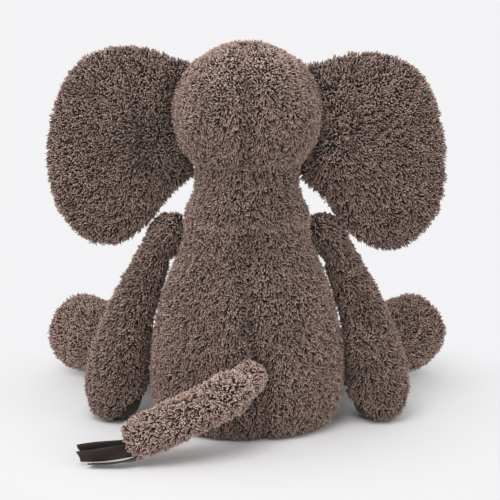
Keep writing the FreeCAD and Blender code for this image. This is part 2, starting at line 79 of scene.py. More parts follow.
# %% [markdown]
# ## Places taken from the frame
# Sizes and places come from the frame's nodes and joints, so the looks follow when the frame changes. A joint's
# position is the middle of the root ball on which a limb turns.
# %% Places
joint_place = {}
for joint in frame["joints"]:
    joint_place[joint["name"]] = Vector(joint["pos_m"])
NECK = joint_place["head_nod"]
SHOULDER_LEFT = joint_place["arm_left_raise"]
HIP_LEFT = joint_place["leg_left_lift"]
TRUNK_ROOT = joint_place["trunk_lift"]
TRUNK_BEND = joint_place["trunk_tip_curl"]
TAIL_ROOT = joint_place["tail_swing"]
TAIL_END = joint_place["tassel_lift"]
head_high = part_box("head_left")[1]
HEAD_RADIUS = head_high[0]
HEAD = Vector((0, 0, head_high[2] - HEAD_RADIUS))
TORSO_HALF_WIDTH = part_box("back_left")[1][0]
# The left of the toy is on the side of +X.
SIDES = (("left", 1), ("right", -1))
# Nothing visible dips below this height, so that it rests on the floor without cutting into it.
FLOOR_GAP = 0.3 * MM


def mirrored(place, side):
    return Vector((side * place.x, place.y, place.z))


print("head radius %.1f mm, torso %.0f mm wide" % (HEAD_RADIUS / MM, 2 * TORSO_HALF_WIDTH / MM))

# %% [markdown]
# ## Helpers for node trees
# Every node tree below is written with the same few helpers. A node's sockets are given as a table: where the
# value is another node's socket the two are linked, otherwise it becomes the socket's own value.
# %% Node helpers


def feed(tree, node, inputs):
    """Fills a node's sockets, named or numbered, with values or with links."""
    for key, value in inputs.items():
        if isinstance(value, bpy.types.NodeSocket):
            tree.links.new(value, node.inputs[key])
        else:
            node.inputs[key].default_value = value


def add_node(tree, kind, inputs=None, **settings):
    node = tree.nodes.new(kind)
    for key, value in settings.items():
        setattr(node, key, value)
    feed(tree, node, inputs or {})
    return node


def calculate(tree, operation, *values):
    """Result of one Math node; each value is a number or a socket."""
    return add_node(tree, "ShaderNodeMath", dict(enumerate(values)), operation=operation).outputs[0]


def scale_vector(tree, vector, scale):
    return add_node(tree, "ShaderNodeVectorMath", {0: vector, "Scale": scale}, operation="SCALE").outputs["Vector"]


def mix_colours(tree, share, first, second):
    return add_node(tree, "ShaderNodeMix", {0: share, 6: first, 7: second}, data_type="RGBA").outputs[2]


def node_group(name, inputs, outputs):
    """New shader node group; inputs are (name, kind, default) and outputs (name, kind)."""
    group = bpy.data.node_groups.new(name, "ShaderNodeTree")
    for label, kind, default in inputs:
        socket = group.interface.new_socket(name=label, in_out="INPUT", socket_type=kind)
        socket.default_value = default
    for label, kind in outputs:
        group.interface.new_socket(name=label, in_out="OUTPUT", socket_type=kind)
    return group


def new_material(name, roughness, sheen=0.0, sheen_roughness=0.5, coat=0.0):
    """Empty material with a Principled shader; flat values go straight onto its sockets."""
    material = bpy.data.materials.new(name)
    material.use_nodes = True
    shader = material.node_tree.nodes["Principled BSDF"]
    shader.inputs["Roughness"].default_value = roughness
    shader.inputs["Specular IOR Level"].default_value = 0.25
    shader.inputs["Sheen Weight"].default_value = sheen
    shader.inputs["Sheen Roughness"].default_value = sheen_roughness
    shader.inputs["Coat Weight"].default_value = coat
    return material, material.node_tree, shader


print("node helpers ready")

# %% [markdown]
# ## Colour of the pile
# A yarn tuft is dark at its root, painted shade where light hardly reaches, and pale at its tip, a painted
# highlight where the light falls. One shader group holds that blend, so every furry piece shares it. "Along"
# says where on the tuft a spot is, from root to tip, and "Tone" brightens or darkens the tuft as a whole.
# %% Pile colour group
# The root colour is painted shade and the tip colour a painted highlight.
ROOT_SHADE_BROWN = (0.040, 0.0255, 0.0215, 1.0)
MIDDLE_BROWN = (0.210, 0.133, 0.109, 1.0)
TIP_HIGHLIGHT_TAUPE = (0.700, 0.533, 0.470, 1.0)
DARKEST_GAIN, PALEST_GAIN = 0.50, 1.50


def build_pile_group():
    group = node_group("Pile colour",
                       [("Tone", "NodeSocketFloat", 0.5), ("Along", "NodeSocketFloat", 0.5),
                        ("Root", "NodeSocketColor", ROOT_SHADE_BROWN), ("Middle", "NodeSocketColor", MIDDLE_BROWN),
                        ("Tip", "NodeSocketColor", TIP_HIGHLIGHT_TAUPE)],
                       [("Color", "NodeSocketColor")])
    entry = add_node(group, "NodeGroupInput").outputs
    # Root to middle over the lower half, middle to tip over the upper half.
    lower = add_node(group, "ShaderNodeMapRange", {"Value": entry["Along"], "From Min": 0.05, "From Max": 0.55},
                     interpolation_type="SMOOTHSTEP")
    upper = add_node(group, "ShaderNodeMapRange", {"Value": entry["Along"], "From Min": 0.45, "From Max": 1.0},
                     interpolation_type="SMOOTHSTEP")
    colour = mix_colours(group, lower.outputs["Result"], entry["Root"], entry["Middle"])
    colour = mix_colours(group, upper.outputs["Result"], colour, entry["Tip"])
    gain = add_node(group, "ShaderNodeMapRange",
                    {"Value": entry["Tone"], "To Min": DARKEST_GAIN, "To Max": PALEST_GAIN})
    add_node(group, "NodeGroupOutput", {"Color": scale_vector(group, colour, gain.outputs["Result"])})
    return group


pile_group = build_pile_group()
print("pile colour group:", len(pile_group.nodes), "nodes")

# %% [markdown]
# The pile's material reads the tuft's own map: across it lies the tuft's tone, along it the way from root to
# tip. Stored like this, the colour stays on the tuft when the toy moves. Sheen stands in for the fine fibres.
# %% Pile material


def build_pile_material():
    material, tree, shader = new_material("Curly pile", roughness=0.85, sheen=0.35, sheen_roughness=0.45)
    tuft_map = add_node(tree, "ShaderNodeUVMap", uv_map="OFBake")
    split = add_node(tree, "ShaderNodeSeparateXYZ", {"Vector": tuft_map.outputs["UV"]})
    colour = add_node(tree, "ShaderNodeGroup", {"Tone": split.outputs["X"], "Along": split.outputs["Y"]},
                      node_tree=pile_group)
    feed(tree, shader, {"Base Color": colour.outputs["Color"], "Sheen Tint": (0.75, 0.62, 0.55, 1.0)})
    return material


pile_material = build_pile_material()
print("material:", pile_material.name)

# %% [markdown]
# ## Suedette, and backing cloth in painted shade
# The paw pads, soles, ear linings and tassel are a dark brown suedette: a short brushed nap with slightly
# lighter and darker patches where it was stroked. The cloth under the pile is darker still: it is painted shade,
# a nearly black sheet that only shows as the shadow between the tufts. Both use a noise on Object coordinates,
# because they are smooth sheets.
# %% Nap group and materials


def build_nap_group():
    group = node_group("Brushed nap",
                       [("Base", "NodeSocketColor", (0.03, 0.02, 0.017, 1.0)), ("Patch size", "NodeSocketFloat", 90.0),
                        ("Grain size", "NodeSocketFloat", 1400.0), ("Contrast", "NodeSocketFloat", 0.35)],
                       [("Color", "NodeSocketColor"), ("Height", "NodeSocketFloat")])
    entry = add_node(group, "NodeGroupInput").outputs
    place = add_node(group, "ShaderNodeTexCoord").outputs["Object"]
    patches = add_node(group, "ShaderNodeTexNoise", {"Vector": place, "Scale": entry["Patch size"], "Detail": 3.0})
    grain = add_node(group, "ShaderNodeTexNoise", {"Vector": place, "Scale": entry["Grain size"], "Detail": 4.0})
    # Patches and grain are mixed and centred on zero, and the contrast turns them into a gain round one.
    mixed = calculate(group, "MULTIPLY_ADD", grain.outputs["Fac"], 0.6,
                      calculate(group, "MULTIPLY", patches.outputs["Fac"], 0.4))
    strength = calculate(group, "MULTIPLY", calculate(group, "SUBTRACT", mixed, 0.5), entry["Contrast"])
    gain = calculate(group, "MULTIPLY_ADD", strength, 6.0, 1.0)
    add_node(group, "NodeGroupOutput",
             {"Color": scale_vector(group, entry["Base"], gain), "Height": grain.outputs["Fac"]})
    return group


def build_nap_material(name, base, patch_size, grain_size, contrast, bump, sheen):
    material, tree, shader = new_material(name, roughness=0.8, sheen=sheen, sheen_roughness=0.35)
    nap = add_node(tree, "ShaderNodeGroup",
                   {"Base": base, "Patch size": patch_size, "Grain size": grain_size, "Contrast": contrast},
                   node_tree=nap_group)
    raised = add_node(tree, "ShaderNodeBump",
                      {"Strength": bump, "Distance": 0.3 * MM, "Height": nap.outputs["Height"]})
    feed(tree, shader, {"Base Color": nap.outputs["Color"], "Normal": raised.outputs["Normal"]})
    return material


nap_group = build_nap_group()
suedette = build_nap_material("Dark suedette", (0.040, 0.027, 0.022, 1.0), patch_size=70.0, grain_size=1500.0,
                              contrast=0.30, bump=0.5, sheen=0.25)
# The backing is painted shade: nearly black, so the gaps between the tufts read as shadow.
shade_backing = build_nap_material("Backing cloth in painted shade", (0.022, 0.014, 0.0115, 1.0), patch_size=60.0, grain_size=700.0,
                             contrast=0.40, bump=0.8, sheen=0.0)
print("materials:", suedette.name, shade_backing.name)

# %% [markdown]
# ## Mesh helpers
# Points and normals are read into numpy arrays, moved there all at once and written back.
# %% Mesh helpers


def smoothstep(low, high, value):
    """0 below low, 1 above high and a soft rise between."""
    share = np.clip((value - low) / (high - low), 0.0, 1.0)
    return share * share * (3 - 2 * share)


def link_mesh(name, mesh):
    piece = bpy.data.objects.new(name, mesh)
    bpy.context.scene.collection.objects.link(piece)
    return piece


def read_vectors(mesh, label):
    flat = np.empty(len(mesh.vertices) * 3)
    mesh.vertices.foreach_get(label, flat)
    return flat.reshape(-1, 3)


def read_points(mesh):
    return read_vectors(mesh, "co")


def read_normals(mesh):
    return read_vectors(mesh, "normal")


def node_points(name):
    return read_points(frame["nodes"][name].data)


def write_points(mesh, points):
    mesh.vertices.foreach_set("co", points.ravel())
    mesh.update()


def puff(piece, amount):
    """Moves each point out along its normal by its own amount in mm; below zero it is drawn in."""
    points = read_points(piece.data)
    points += read_normals(piece.data) * (amount * MM)[:, None]
    write_points(piece.data, points)


def distance_to(points, place):
    return np.linalg.norm(points - np.array(place), axis=1)


def nearest_distance(points, others):
    tree = KDTree(len(others))
    for index, other in enumerate(others):
        tree.insert(other, index)
    tree.balance()
    return np.array([tree.find(point)[2] for point in points])


def bake_modifiers(piece):
    """Replaces the piece's mesh by what its modifiers make of it."""
    graph = bpy.context.evaluated_depsgraph_get()
    mesh = bpy.data.meshes.new_from_object(piece.evaluated_get(graph), depsgraph=graph)
    piece.modifiers.clear()
    old = piece.data
    piece.data = mesh
    bpy.data.meshes.remove(old)


def keep_largest_shell(piece):
    """Drops the inner shells that a hollow solid leaves behind."""
    form = bmesh.new()
    form.from_mesh(piece.data)
    unseen = set(form.verts)
    shells = []
    while unseen:
        stack = [unseen.pop()]
        shell = []
        while stack:
            vertex = stack.pop()
            shell.append(vertex)
            for edge in vertex.link_edges:
                other = edge.other_vert(vertex)
                if other in unseen:
                    unseen.remove(other)
                    stack.append(other)
        shells.append(shell)
    shells.sort(key=len, reverse=True)
    spare = [vertex for shell in shells[1:] for vertex in shell]
    bmesh.ops.delete(form, geom=spare, context="VERTS")
    form.to_mesh(piece.data)
    form.free()


def turn_faces_outward(mesh, join=0.0):
    """Turns every face outward, after joining the points that lie closer than join."""
    form = bmesh.new()
    form.from_mesh(mesh)
    if join:
        bmesh.ops.remove_doubles(form, verts=form.verts, dist=join)
    bmesh.ops.recalc_face_normals(form, faces=form.faces)
    form.to_mesh(mesh)
    form.free()


print("nodes in the frame:", len(frame["nodes"]))

# %% [markdown]
# ## Stuffed skins
# Under the pile each part of the toy is a cloth bag stuffed with fibre. It could be a subdivided cage, but the
# frame already holds the exact forms, so a voxel remesh wraps one even skin round the solids of a body. The skin
# is then drawn in a little, because the pile stands on it and brings the form back to full size. Near a joint it
# stays where it is, so that a limb keeps filling its socket.
# %% Skins of all bodies
SOCKET_ARM = 15.0 * MM
SOCKET_LEG = 17.3 * MM


def wrap_skin(name, node_names, voxel, inset, joint_balls):
    """Even closed skin round the nodes' solids. joint_balls are (centre, radius) where it isn't drawn in."""
    form = bmesh.new()
    for node_name in node_names:
        form.from_mesh(frame["nodes"][node_name].data)
    bmesh.ops.remove_doubles(form, verts=form.verts, dist=0.01 * MM)
    mesh = bpy.data.meshes.new(name)
    form.to_mesh(mesh)
    form.free()
    skin = link_mesh(name, mesh)
    remesh = skin.modifiers.new("Wrap", "REMESH")
    remesh.mode = "VOXEL"
    remesh.voxel_size = voxel * MM
    smooth = skin.modifiers.new("Relax", "SMOOTH")
    smooth.factor = 0.5
    smooth.iterations = 4
    bake_modifiers(skin)
    keep_largest_shell(skin)
    share = np.ones(len(skin.data.vertices))
    for centre, radius in joint_balls:
        away = distance_to(read_points(skin.data), centre)
        share *= np.clip((away - radius) / (4 * MM), 0.0, 1.0)
    puff(skin, -share * inset)
    return skin


torso_joints = [(mirrored(SHOULDER_LEFT, side), SOCKET_ARM) for _, side in SIDES]
torso_joints += [(mirrored(HIP_LEFT, side), SOCKET_LEG) for _, side in SIDES]
skin_nodes = {
    "torso": ["seat", "belly", "back_left", "back_right", "bean_bag", "torso_filling"],
    "head": ["forehead_gusset", "head_left", "head_right", "head_filling"],
    "trunk": ["trunk_left", "trunk_right", "trunk_filling"],
    "trunk_tip": ["trunk_tip_left", "trunk_tip_right", "trunk_tip_filling"],
    "tail": [name for name in frame["nodes"] if name.startswith("tail_")],
}
# Voxel size and inset in mm, and the balls of the body's own joints.
skin_shapes = {
    "torso": (4.5, 2.5, torso_joints),
    "head": (4.0, 2.5, []),
    "trunk": (3.0, 2.2, [(TRUNK_BEND, 14.6 * MM)]),
    "trunk_tip": (2.6, 2.0, [(TRUNK_BEND, 12.0 * MM)]),
    "tail": (3.0, 2.5, [(TAIL_ROOT, 11.0 * MM)]),
}
for hand, side in SIDES:
    skin_nodes["arm_" + hand] = [part + hand for part in ("arm_front_", "arm_back_", "paw_pad_", "arm_filling_")]
    skin_nodes["leg_" + hand] = [part + hand for part in ("leg_inner_", "leg_outer_", "sole_", "leg_filling_")]
    skin_nodes["ear_" + hand] = [part + hand for part in ("ear_back_", "ear_lining_", "ear_padding_")]
    skin_shapes["arm_" + hand] = (3.6, 2.5, [(mirrored(SHOULDER_LEFT, side), SOCKET_ARM)])
    skin_shapes["leg_" + hand] = (4.0, 2.5, [(mirrored(HIP_LEFT, side), SOCKET_LEG)])
    # The ear keeps its full form where it meets the head.
    skin_shapes["ear_" + hand] = (3.6, 2.4, [(HEAD, HEAD_RADIUS + 7 * MM)])
skins = {}
for name, shape in skin_shapes.items():
    skins[name] = wrap_skin(name + "_skin", skin_nodes[name], *shape)
    print("%-10s %6d points" % (name, len(skins[name].data.vertices)))

# %% [markdown]
# ## Shoulders and ear roots
# Two places need more cloth than the plain solids have. The shoulders run up to the neck in a soft slope: the
# torso is widened level by level until it has the width and depth of the slope. And the head rises to meet the
# ears without a gap.
# %% Shoulders and ear roots
# (height, half width, half depth) in mm; the first row leaves the torso as it is.
SHOULDER_SLOPE = [(118, 1, 1), (128, 52.0, 43.5), (138, 50.0, 42.5), (148, 47.5, 41.5), (157, 44.6, 39.9),
                  (163, 41.5, 38.2), (168, 34.0, 33.5)]
# Above this height in mm the slope may also make the torso less deep.
NECKLINE = 150


def widest(points, level, axis):
    near = np.abs(points[:, 2] - level) < 3 * MM
    return np.abs(points[near, axis]).max() if near.any() else 0.0


def fill_shoulders(skin, slope, balls):
    """Brings the skin to the slope's width and depth; at the balls of the arms the width stays."""
    points = read_points(skin.data)
    levels = np.array([row[0] for row in slope]) * MM
    off_joints = np.ones(len(points))
    for centre, radius in balls:
        off_joints *= smoothstep(radius, radius + 6 * MM, distance_to(points, centre))
    for axis, share in ((0, off_joints), (1, 1.0)):
        gains = []
        for row, level in zip(slope, levels):
            gain = row[1 + axis] * MM / max(widest(points, level, axis), 1e-4)
            gains.append(gain if axis == 1 and row[0] > NECKLINE else max(1.0, gain))
        gain = np.interp(points[:, 2], levels, gains, left=1.0, right=gains[-1])
        points[:, axis] *= 1 + (gain - 1) * share
    write_points(skin.data, points)


fill_shoulders(skins["torso"], SHOULDER_SLOPE, torso_joints[:2])
near_ears = 0.0
for hand, _ in SIDES:
    away = nearest_distance(read_points(skins["head"].data), read_points(skins["ear_" + hand].data))
    near_ears += 1.0 - smoothstep(5 * MM, 13 * MM, away)
puff(skins["head"], near_ears * 2.3)
print("shoulder levels:", len(SHOULDER_SLOPE), "- head points raised:", int((near_ears > 0).sum()))

# %% [markdown]
# ## How the limbs settle
# A stuffed toy is never quite even. The hanging arms lean against the belly, the feet are rounder below than
# their solids and the ears sag at their lower corners. The right ear was sewn on a touch lower, and the tail's
# root leans a little to the left.
# %% Settle the limbs
ARM_PUFF = 1.8
FOOT_SHRINK = {"left": 2.0, "right": 4.0}
# How far an ear reaches outwards all along, and how much more at its foot, in mm.
EAR_REACH = {"left": (1.8, 3.2), "right": (2.2, 6.5)}
# How far its foot hangs down beside the arm and at the outer corner, in mm; below zero it is held up.
EAR_DROP = {"left": (1.4, 4.0), "right": (-3.5, 1.5)}
RIGHT_EAR_TURN = math.radians(-3.0)
TAIL_ROOT_LEAN = np.array([8.0, 0.0, -4.0]) * MM

for hand, side in SIDES:
    arm = skins["arm_" + hand]
    points = read_points(arm.data)
    near_belly = 1.0 - smoothstep(7 * MM, 14 * MM, nearest_distance(points, read_points(skins["torso"].data)))
    rise = near_belly * smoothstep(40 * MM, 60 * MM, points[:, 2])
    rise *= 1.0 - smoothstep(118 * MM, 128 * MM, points[:, 2])
    puff(arm, rise * ARM_PUFF)

    leg = skins["leg_" + hand]
    points = read_points(leg.data)
    foot = node_points("sole_" + hand).mean(axis=0)
    below = 1.0 - smoothstep(-20 * MM, 8 * MM, points[:, 2] - foot[2])
    outer = smoothstep(-12 * MM, 18 * MM, side * (points[:, 0] - foot[0]))
    near_foot = 1.0 - smoothstep(25 * MM, 55 * MM, distance_to(points, foot))
    puff(leg, -below * outer * near_foot * FOOT_SHRINK[hand])

    ear = skins["ear_" + hand]
    points = read_points(ear.data)
    out = smoothstep(58 * MM, 115 * MM, side * points[:, 0])
    low = 1.0 - smoothstep(160 * MM, 215 * MM, points[:, 2])
    reach, low_reach = EAR_REACH[hand]
    inner_drop, outer_drop = EAR_DROP[hand]
    points[:, 0] += side * out * (reach + low_reach * low) * MM
    points[:, 2] -= (inner_drop + (outer_drop - inner_drop) * out) * low * MM
    write_points(ear.data, points)

turn = Matrix.Translation(HEAD) @ Matrix.Rotation(RIGHT_EAR_TURN, 4, "Y") @ Matrix.Translation(-HEAD)
skins["ear_right"].data.transform(turn)
TAIL_LINE = np.array(TAIL_END - TAIL_ROOT)


def share_of_tail(points):
    """0 at the tail's root, 1 at its end."""
    return ((points - np.array(TAIL_ROOT)) @ TAIL_LINE) / (TAIL_LINE @ TAIL_LINE)


points = read_points(skins["tail"].data)
near_root = 1.0 - smoothstep(0.0, 0.40, share_of_tail(points))
write_points(skins["tail"].data, points + near_root[:, None] * TAIL_ROOT_LEAN)
print("limbs settled:", 3 * len(SIDES), "and the tail")

# %% [markdown]
# ## Seams and stuffing
# A stuffed cover is tight: it bulges between its seams and is drawn in along them. The seams are laid into each
# skin as shallow valleys, then a cloth simulation with air pressure blows the skin up while the seams and the
# joint balls stay pinned. No point may move more than a few millimetres, so that the toy keeps its size.
# %% Seam valleys and cloth simulation


def wave(points, pitch, seed=0.0):
    """Cheap smooth noise between -1 and 1, from crossed sine waves of the given pitch in mm."""
    scaled = points / (pitch * MM) * 2 * math.pi
    x, y, z = scaled[:, 0], scaled[:, 1], scaled[:, 2]
    value = np.sin(x + 1.3 * np.sin(0.7 * y + seed) + seed)
    value = value * np.sin(y * 0.9 + 1.1 * np.sin(0.8 * z + 2.0 * seed) + 1.7)
    return value * 0.5 + 0.5 * np.sin(z * 1.1 + 1.2 * np.sin(0.9 * x + 0.5 + seed))


def press_seam(skin, distance, depth, half_width):
    """Presses a valley of that depth in mm where distance, in metres from the seam, is small."""
    share = 1.0 - smoothstep(0.0, half_width * MM, np.abs(distance))
    puff(skin, -share * depth)


def hold(skin, weights):
    """Pins points of the skin for the simulation; weights run from 0, free, to 1, held."""
    group = skin.vertex_groups.new(name="held")
    for index in np.nonzero(weights > 0.02)[0]:
        group.add([int(index)], float(min(weights[index], 1.0)), "REPLACE")


def stuff_skins(all_skins, cap, pressure=4.0, frames=20):
    """One run of the cloth simulation for all skins; a point moves no further than cap, in mm."""
    scene = bpy.context.scene
    starts = {}
    for name, skin in all_skins.items():
        starts[name] = read_points(skin.data)
        cloth = skin.modifiers.new("Stuffing", "CLOTH")
        cloth.settings.vertex_group_mass = "held"
        cloth.settings.use_pressure = True
        cloth.settings.uniform_pressure_force = pressure
        cloth.settings.effector_weights.gravity = 0.0
        cloth.point_cache.frame_start = 1
        cloth.point_cache.frame_end = frames
    for step in range(1, frames + 1):
        scene.frame_set(step)
    graph = bpy.context.evaluated_depsgraph_get()
    for name, skin in all_skins.items():
        puffed = read_points(skin.evaluated_get(graph).data)
        move = puffed - starts[name]
        length = np.linalg.norm(move, axis=1)
        limit = cap[name] * MM
        move *= (limit * np.tanh(length / limit) / np.maximum(length, 1e-9))[:, None]
        skin.modifiers.clear()
        write_points(skin.data, starts[name] + move)
        print("%-10s moved up to %.1f mm" % (name, np.linalg.norm(move, axis=1).max() / MM))
    scene.frame_set(1)


print("simulation:", "on")

# %% [markdown]
# The two back panels meet in a seam down the middle of the back, which bends to the right below the waist. The
# head has one down its back too, and the torso one on each side. Away from the back the distance to a seam is
# set far off, so that nothing happens there.
# %% Seams of each body
FAR_OFF = 1.0


def from_back_seam(points):
    """Sideways distance from the back's centre seam."""
    bend = 12.0 * MM * (1.0 - smoothstep(20 * MM, 100 * MM, points[:, 2]))
    return points[:, 0] + 1.2 * MM * np.sin(points[:, 2] / (17 * MM)) + bend


def from_head_seam(points):
    """The same for the seam of the head; points are taken from the head's centre."""
    return points[:, 0] + 1.2 * MM * np.sin(points[:, 2] / (13 * MM) + 1.0)


def on_back(points):
    return smoothstep(-5 * MM, 12 * MM, points[:, 1])


torso_points = read_points(skins["torso"].data)
back_seam = np.where(on_back(torso_points) > 0.5, from_back_seam(torso_points), FAR_OFF)
press_seam(skins["torso"], back_seam, depth=2.6, half_width=9.0)
on_side = np.abs(torso_points[:, 0]) > 0.6 * TORSO_HALF_WIDTH
press_seam(skins["torso"], np.where(on_side, torso_points[:, 1], FAR_OFF), depth=1.2, half_width=7.0)

head_points = read_points(skins["head"].data) - np.array(HEAD)
head_seam = np.where(head_points[:, 1] > 4 * MM, from_head_seam(head_points), FAR_OFF)
press_seam(skins["head"], head_seam, depth=2.4, half_width=9.0)

seams = {"torso": back_seam, "head": head_seam}
for name, skin in skins.items():
    points = read_points(skin.data)
    weights = 1.0 - smoothstep(1.5 * MM, 6 * MM, np.abs(seams.get(name, np.full(len(points), FAR_OFF))))
    for centre, radius in torso_joints + [(TRUNK_BEND, 14.6 * MM), (TAIL_ROOT, 11 * MM), (TRUNK_ROOT, 19 * MM)]:
        weights = np.maximum(weights, 1.0 - smoothstep(radius, radius + 6 * MM, distance_to(points, centre)))
    # What rests on the floor stays flat.
    weights = np.maximum(weights, 1.0 - smoothstep(1 * MM, 6 * MM, points[:, 2]))
    hold(skin, weights)

# How far a point of each skin may move, in mm.
PUFF_CAP = {name: 3.0 for name in skins}
PUFF_CAP.update(ear_left=0.9, ear_right=0.9, trunk=1.2, trunk_tip=1.0, tail=1.5)
stuff_skins(skins, PUFF_CAP)
print("seams pressed:", ", ".join(seams), "and the torso's sides")

# %% [markdown]
# The skins stand for the plain solids of the frame, which are hidden and stay in place for collisions.
# %% Finish the skins
for name, skin in skins.items():
    skin.vertex_groups.clear()
    skin.data.shade_smooth()
    skin.data.materials.clear()
    skin.data.materials.append(shade_backing)
    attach(skin, name)
    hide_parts(*skin_nodes[name])
print("skins:", sum(len(skin.data.polygons) for skin in skins.values()), "faces")

# %% [markdown]
# ## A small lathe
# Two round things are turned from a profile: the sleeve round the neck and the domes of the eyes.
# %% Lathe


def lathe(name, profile, steps, place, turn=None):
    """Closed form turned round Z; the profile is a list of (radius, height) in mm, ends on the axis allowed."""
    points, faces, rows = [], [], []
    for radius, height in profile:
        on_axis = radius < 1e-6
        count = 1 if on_axis else steps
        rows.append(list(range(len(points), len(points) + count)))
        for step in range(count):
            angle = 2 * math.pi * step / steps
            points.append(Vector((radius * math.cos(angle), radius * math.sin(angle), height)) * MM)
    for low, high in zip(rows, rows[1:]):
        for step in range(steps):
            corner = [low[step % len(low)], low[(step + 1) % len(low)], high[(step + 1) % len(high)],
                      high[step % len(high)]]
            corner = list(dict.fromkeys(corner))
            if len(corner) > 2:
                faces.append(corner)
    if turn:
        points = [turn @ point for point in points]
    mesh = bpy.data.meshes.new(name)
    mesh.from_pydata([point + Vector(place) for point in points], [], faces)
    mesh.validate()
    mesh.shade_smooth()
    return link_mesh(name, mesh)


def smooth_profile(corners, steps):
    """Points on a soft curve through the corners."""
    dense = []
    for index in range(len(corners) - 1):
        before = np.array(corners[max(index - 1, 0)], dtype=float)
        start, end = np.array(corners[index], dtype=float), np.array(corners[index + 1], dtype=float)
        after = np.array(corners[min(index + 2, len(corners) - 1)], dtype=float)
        for step in range(steps):
            share = step / steps
            dense.append(tuple(0.5 * (2 * start + (end - before) * share
                                      + (2 * before - 5 * start + 4 * end - after) * share ** 2
                                      + (3 * start - before - 3 * end + after) * share ** 3)))
    return dense + [tuple(map(float, corners[-1]))]


print("lathe ready")

# %% [markdown]
# ## Collar
# The neck turns inside a short sleeve of the same pile cloth, which leaves the shoulders and meets the head. The
# shoulders are wider than they are deep, so the sleeve's foot is flattened front to back. The neck and the head
# share one joint, so the sleeve is blended over it: its foot follows the neck, its top the head.
# %% Collar
# (radius, height above the neck's joint) in mm.
COLLAR_OUTSIDE = [(44.2, -29.0), (44.4, -26.0), (43.6, -22.0), (41.8, -17.0), (39.4, -12.0), (37.4, -7.0),
                  (36.4, -2.0), (36.1, 4.0), (36.3, 9.0), (36.8, 14.0), (37.2, 18.0), (36.4, 21.0)]
COLLAR_INSIDE = [(33.0, 19.0), (31.5, 4.0), (32.0, -8.0), (37.0, -20.0), (41.5, -29.0)]
# Depth of the folds and how much shallower the foot is, as shares of the radius.
COLLAR_FOLDS, COLLAR_FLATTEN = 0.02, 0.10

profile = smooth_profile(COLLAR_OUTSIDE, 3) + COLLAR_INSIDE
collar = lathe("collar_skin", profile + profile[:1], 96, NECK)
turn_faces_outward(collar.data, join=0.01 * MM)
points = read_points(collar.data)
height = points[:, 2] - NECK.z
outside = np.hypot(points[:, 0], points[:, 1]) > 35.0 * MM
# A few soft folds where the head's weight creases the sleeve.
fold = wave(points * np.array([1.0, 1.0, 0.25]), 26, 0.4) * np.exp(-(height / (10 * MM)) ** 2)
points[:, :2] *= (1 + COLLAR_FOLDS * fold * outside)[:, None]
points[:, 1] *= 1 - COLLAR_FLATTEN * (1.0 - smoothstep(-26 * MM, -9 * MM, height))
write_points(collar.data, points)
collar.data.materials.append(shade_backing)
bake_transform(collar)
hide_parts("neck_cover", "neck_filling")
print("collar:", len(collar.data.polygons), "faces")

# %% [markdown]
# ## Tufts of yarn
# The pile could be hair curves, but the toy must stay a plain mesh when it leaves Blender, so each tuft is a
# small closed lock of only seven faces. Seven shapes with different bends are enough, because the eye doesn't
# find the repeats once they are turned and scaled. A tuft is one unit long and one unit wide here. Two numbers
# are stored on its points: "along" runs from root to tip and "side" goes round it.
# %% Tuft shapes
TUFT_SHAPES = 7
TUFT_CORNERS = 3
# Level and width of the rings below the tip.
TUFT_RINGS = ((0.0, 0.8), (0.60, 1.08))
TUFT_FACES = 1 + 2 * TUFT_CORNERS


def tuft_middle(level, bend, turn):
    """Centre line of a curl: it rises, leans over and hooks back at its tip."""
    angle = turn + 2.2 * level
    reach = bend * level * level
    return (reach * math.cos(angle), reach * math.sin(angle), level * (1.5 - 0.62 * level))


def build_tufts():
    collection = bpy.data.collections.new("Tufts")
    for number in range(TUFT_SHAPES):
        bend = 0.7 + 1.5 * ((number * 0.618) % 1.0)
        turn = 2 * math.pi * number / TUFT_SHAPES
        points, along, side = [], [], []
        for level, width in TUFT_RINGS:
            middle = tuft_middle(level, bend, turn)
            for corner in range(TUFT_CORNERS):
                angle = 2 * math.pi * corner / TUFT_CORNERS + 0.9 * level
                points.append((middle[0] + 0.5 * width * math.cos(angle), middle[1] + 0.5 * width * math.sin(angle),
                               middle[2]))
                # The root's corners differ a little, so that the map has no two points in one place.
                along.append(level if level else 0.02 * corner)
                side.append(0.5 * corner)
        points.append(tuft_middle(1.0, bend, turn))
        along.append(1.0)
        side.append(0.5)
        faces = [tuple(reversed(range(TUFT_CORNERS)))]
        for corner in range(TUFT_CORNERS):
            after = (corner + 1) % TUFT_CORNERS
            faces.append((corner, after, after + TUFT_CORNERS, corner + TUFT_CORNERS))
            faces.append((corner + TUFT_CORNERS, after + TUFT_CORNERS, 2 * TUFT_CORNERS))
        mesh = bpy.data.meshes.new("tuft_%d" % number)
        mesh.from_pydata(points, [], faces)
        mesh.shade_smooth()
        mesh.attributes.new("along", "FLOAT", "POINT").data.foreach_set("value", along)
        mesh.attributes.new("side", "FLOAT", "POINT").data.foreach_set("value", side)
        collection.objects.link(bpy.data.objects.new("tuft_%d" % number, mesh))
    return collection


tufts = build_tufts()

# %% [markdown]
# ## Growing the pile
# Geometry Nodes scatter the tufts over a skin. The skin carries what a comb would leave in it: the way the pile
# lies, how upright it stands, its length, its tone and how densely it grows. A coarse noise turns neighbouring
# tufts the same way, so that they gather into curls, and random values frizz single tufts. The tree has named
# inputs, so that one tree serves the long pile on the tail and the short pile on the head.
# %% Pile tree
PILE_INPUTS = (("Geometry", "NodeSocketGeometry", None), ("Tufts", "NodeSocketCollection", None),
               ("Material", "NodeSocketMaterial", None), ("Spacing", "NodeSocketFloat", 0.86 * MM),
               ("Width", "NodeSocketFloat", 0.95 * MM), ("Curl size", "NodeSocketFloat", 4.5 * MM),
               ("Curl", "NodeSocketFloat", 0.9), ("Frizz", "NodeSocketFloat", 0.25),
               ("Tone spread", "NodeSocketFloat", 0.22), ("Seed", "NodeSocketInt", 1))
# Strength of the blotches that follow the curls and of the broad ones.
CURL_BLOTCH, BROAD_BLOTCH = 0.55, 0.65


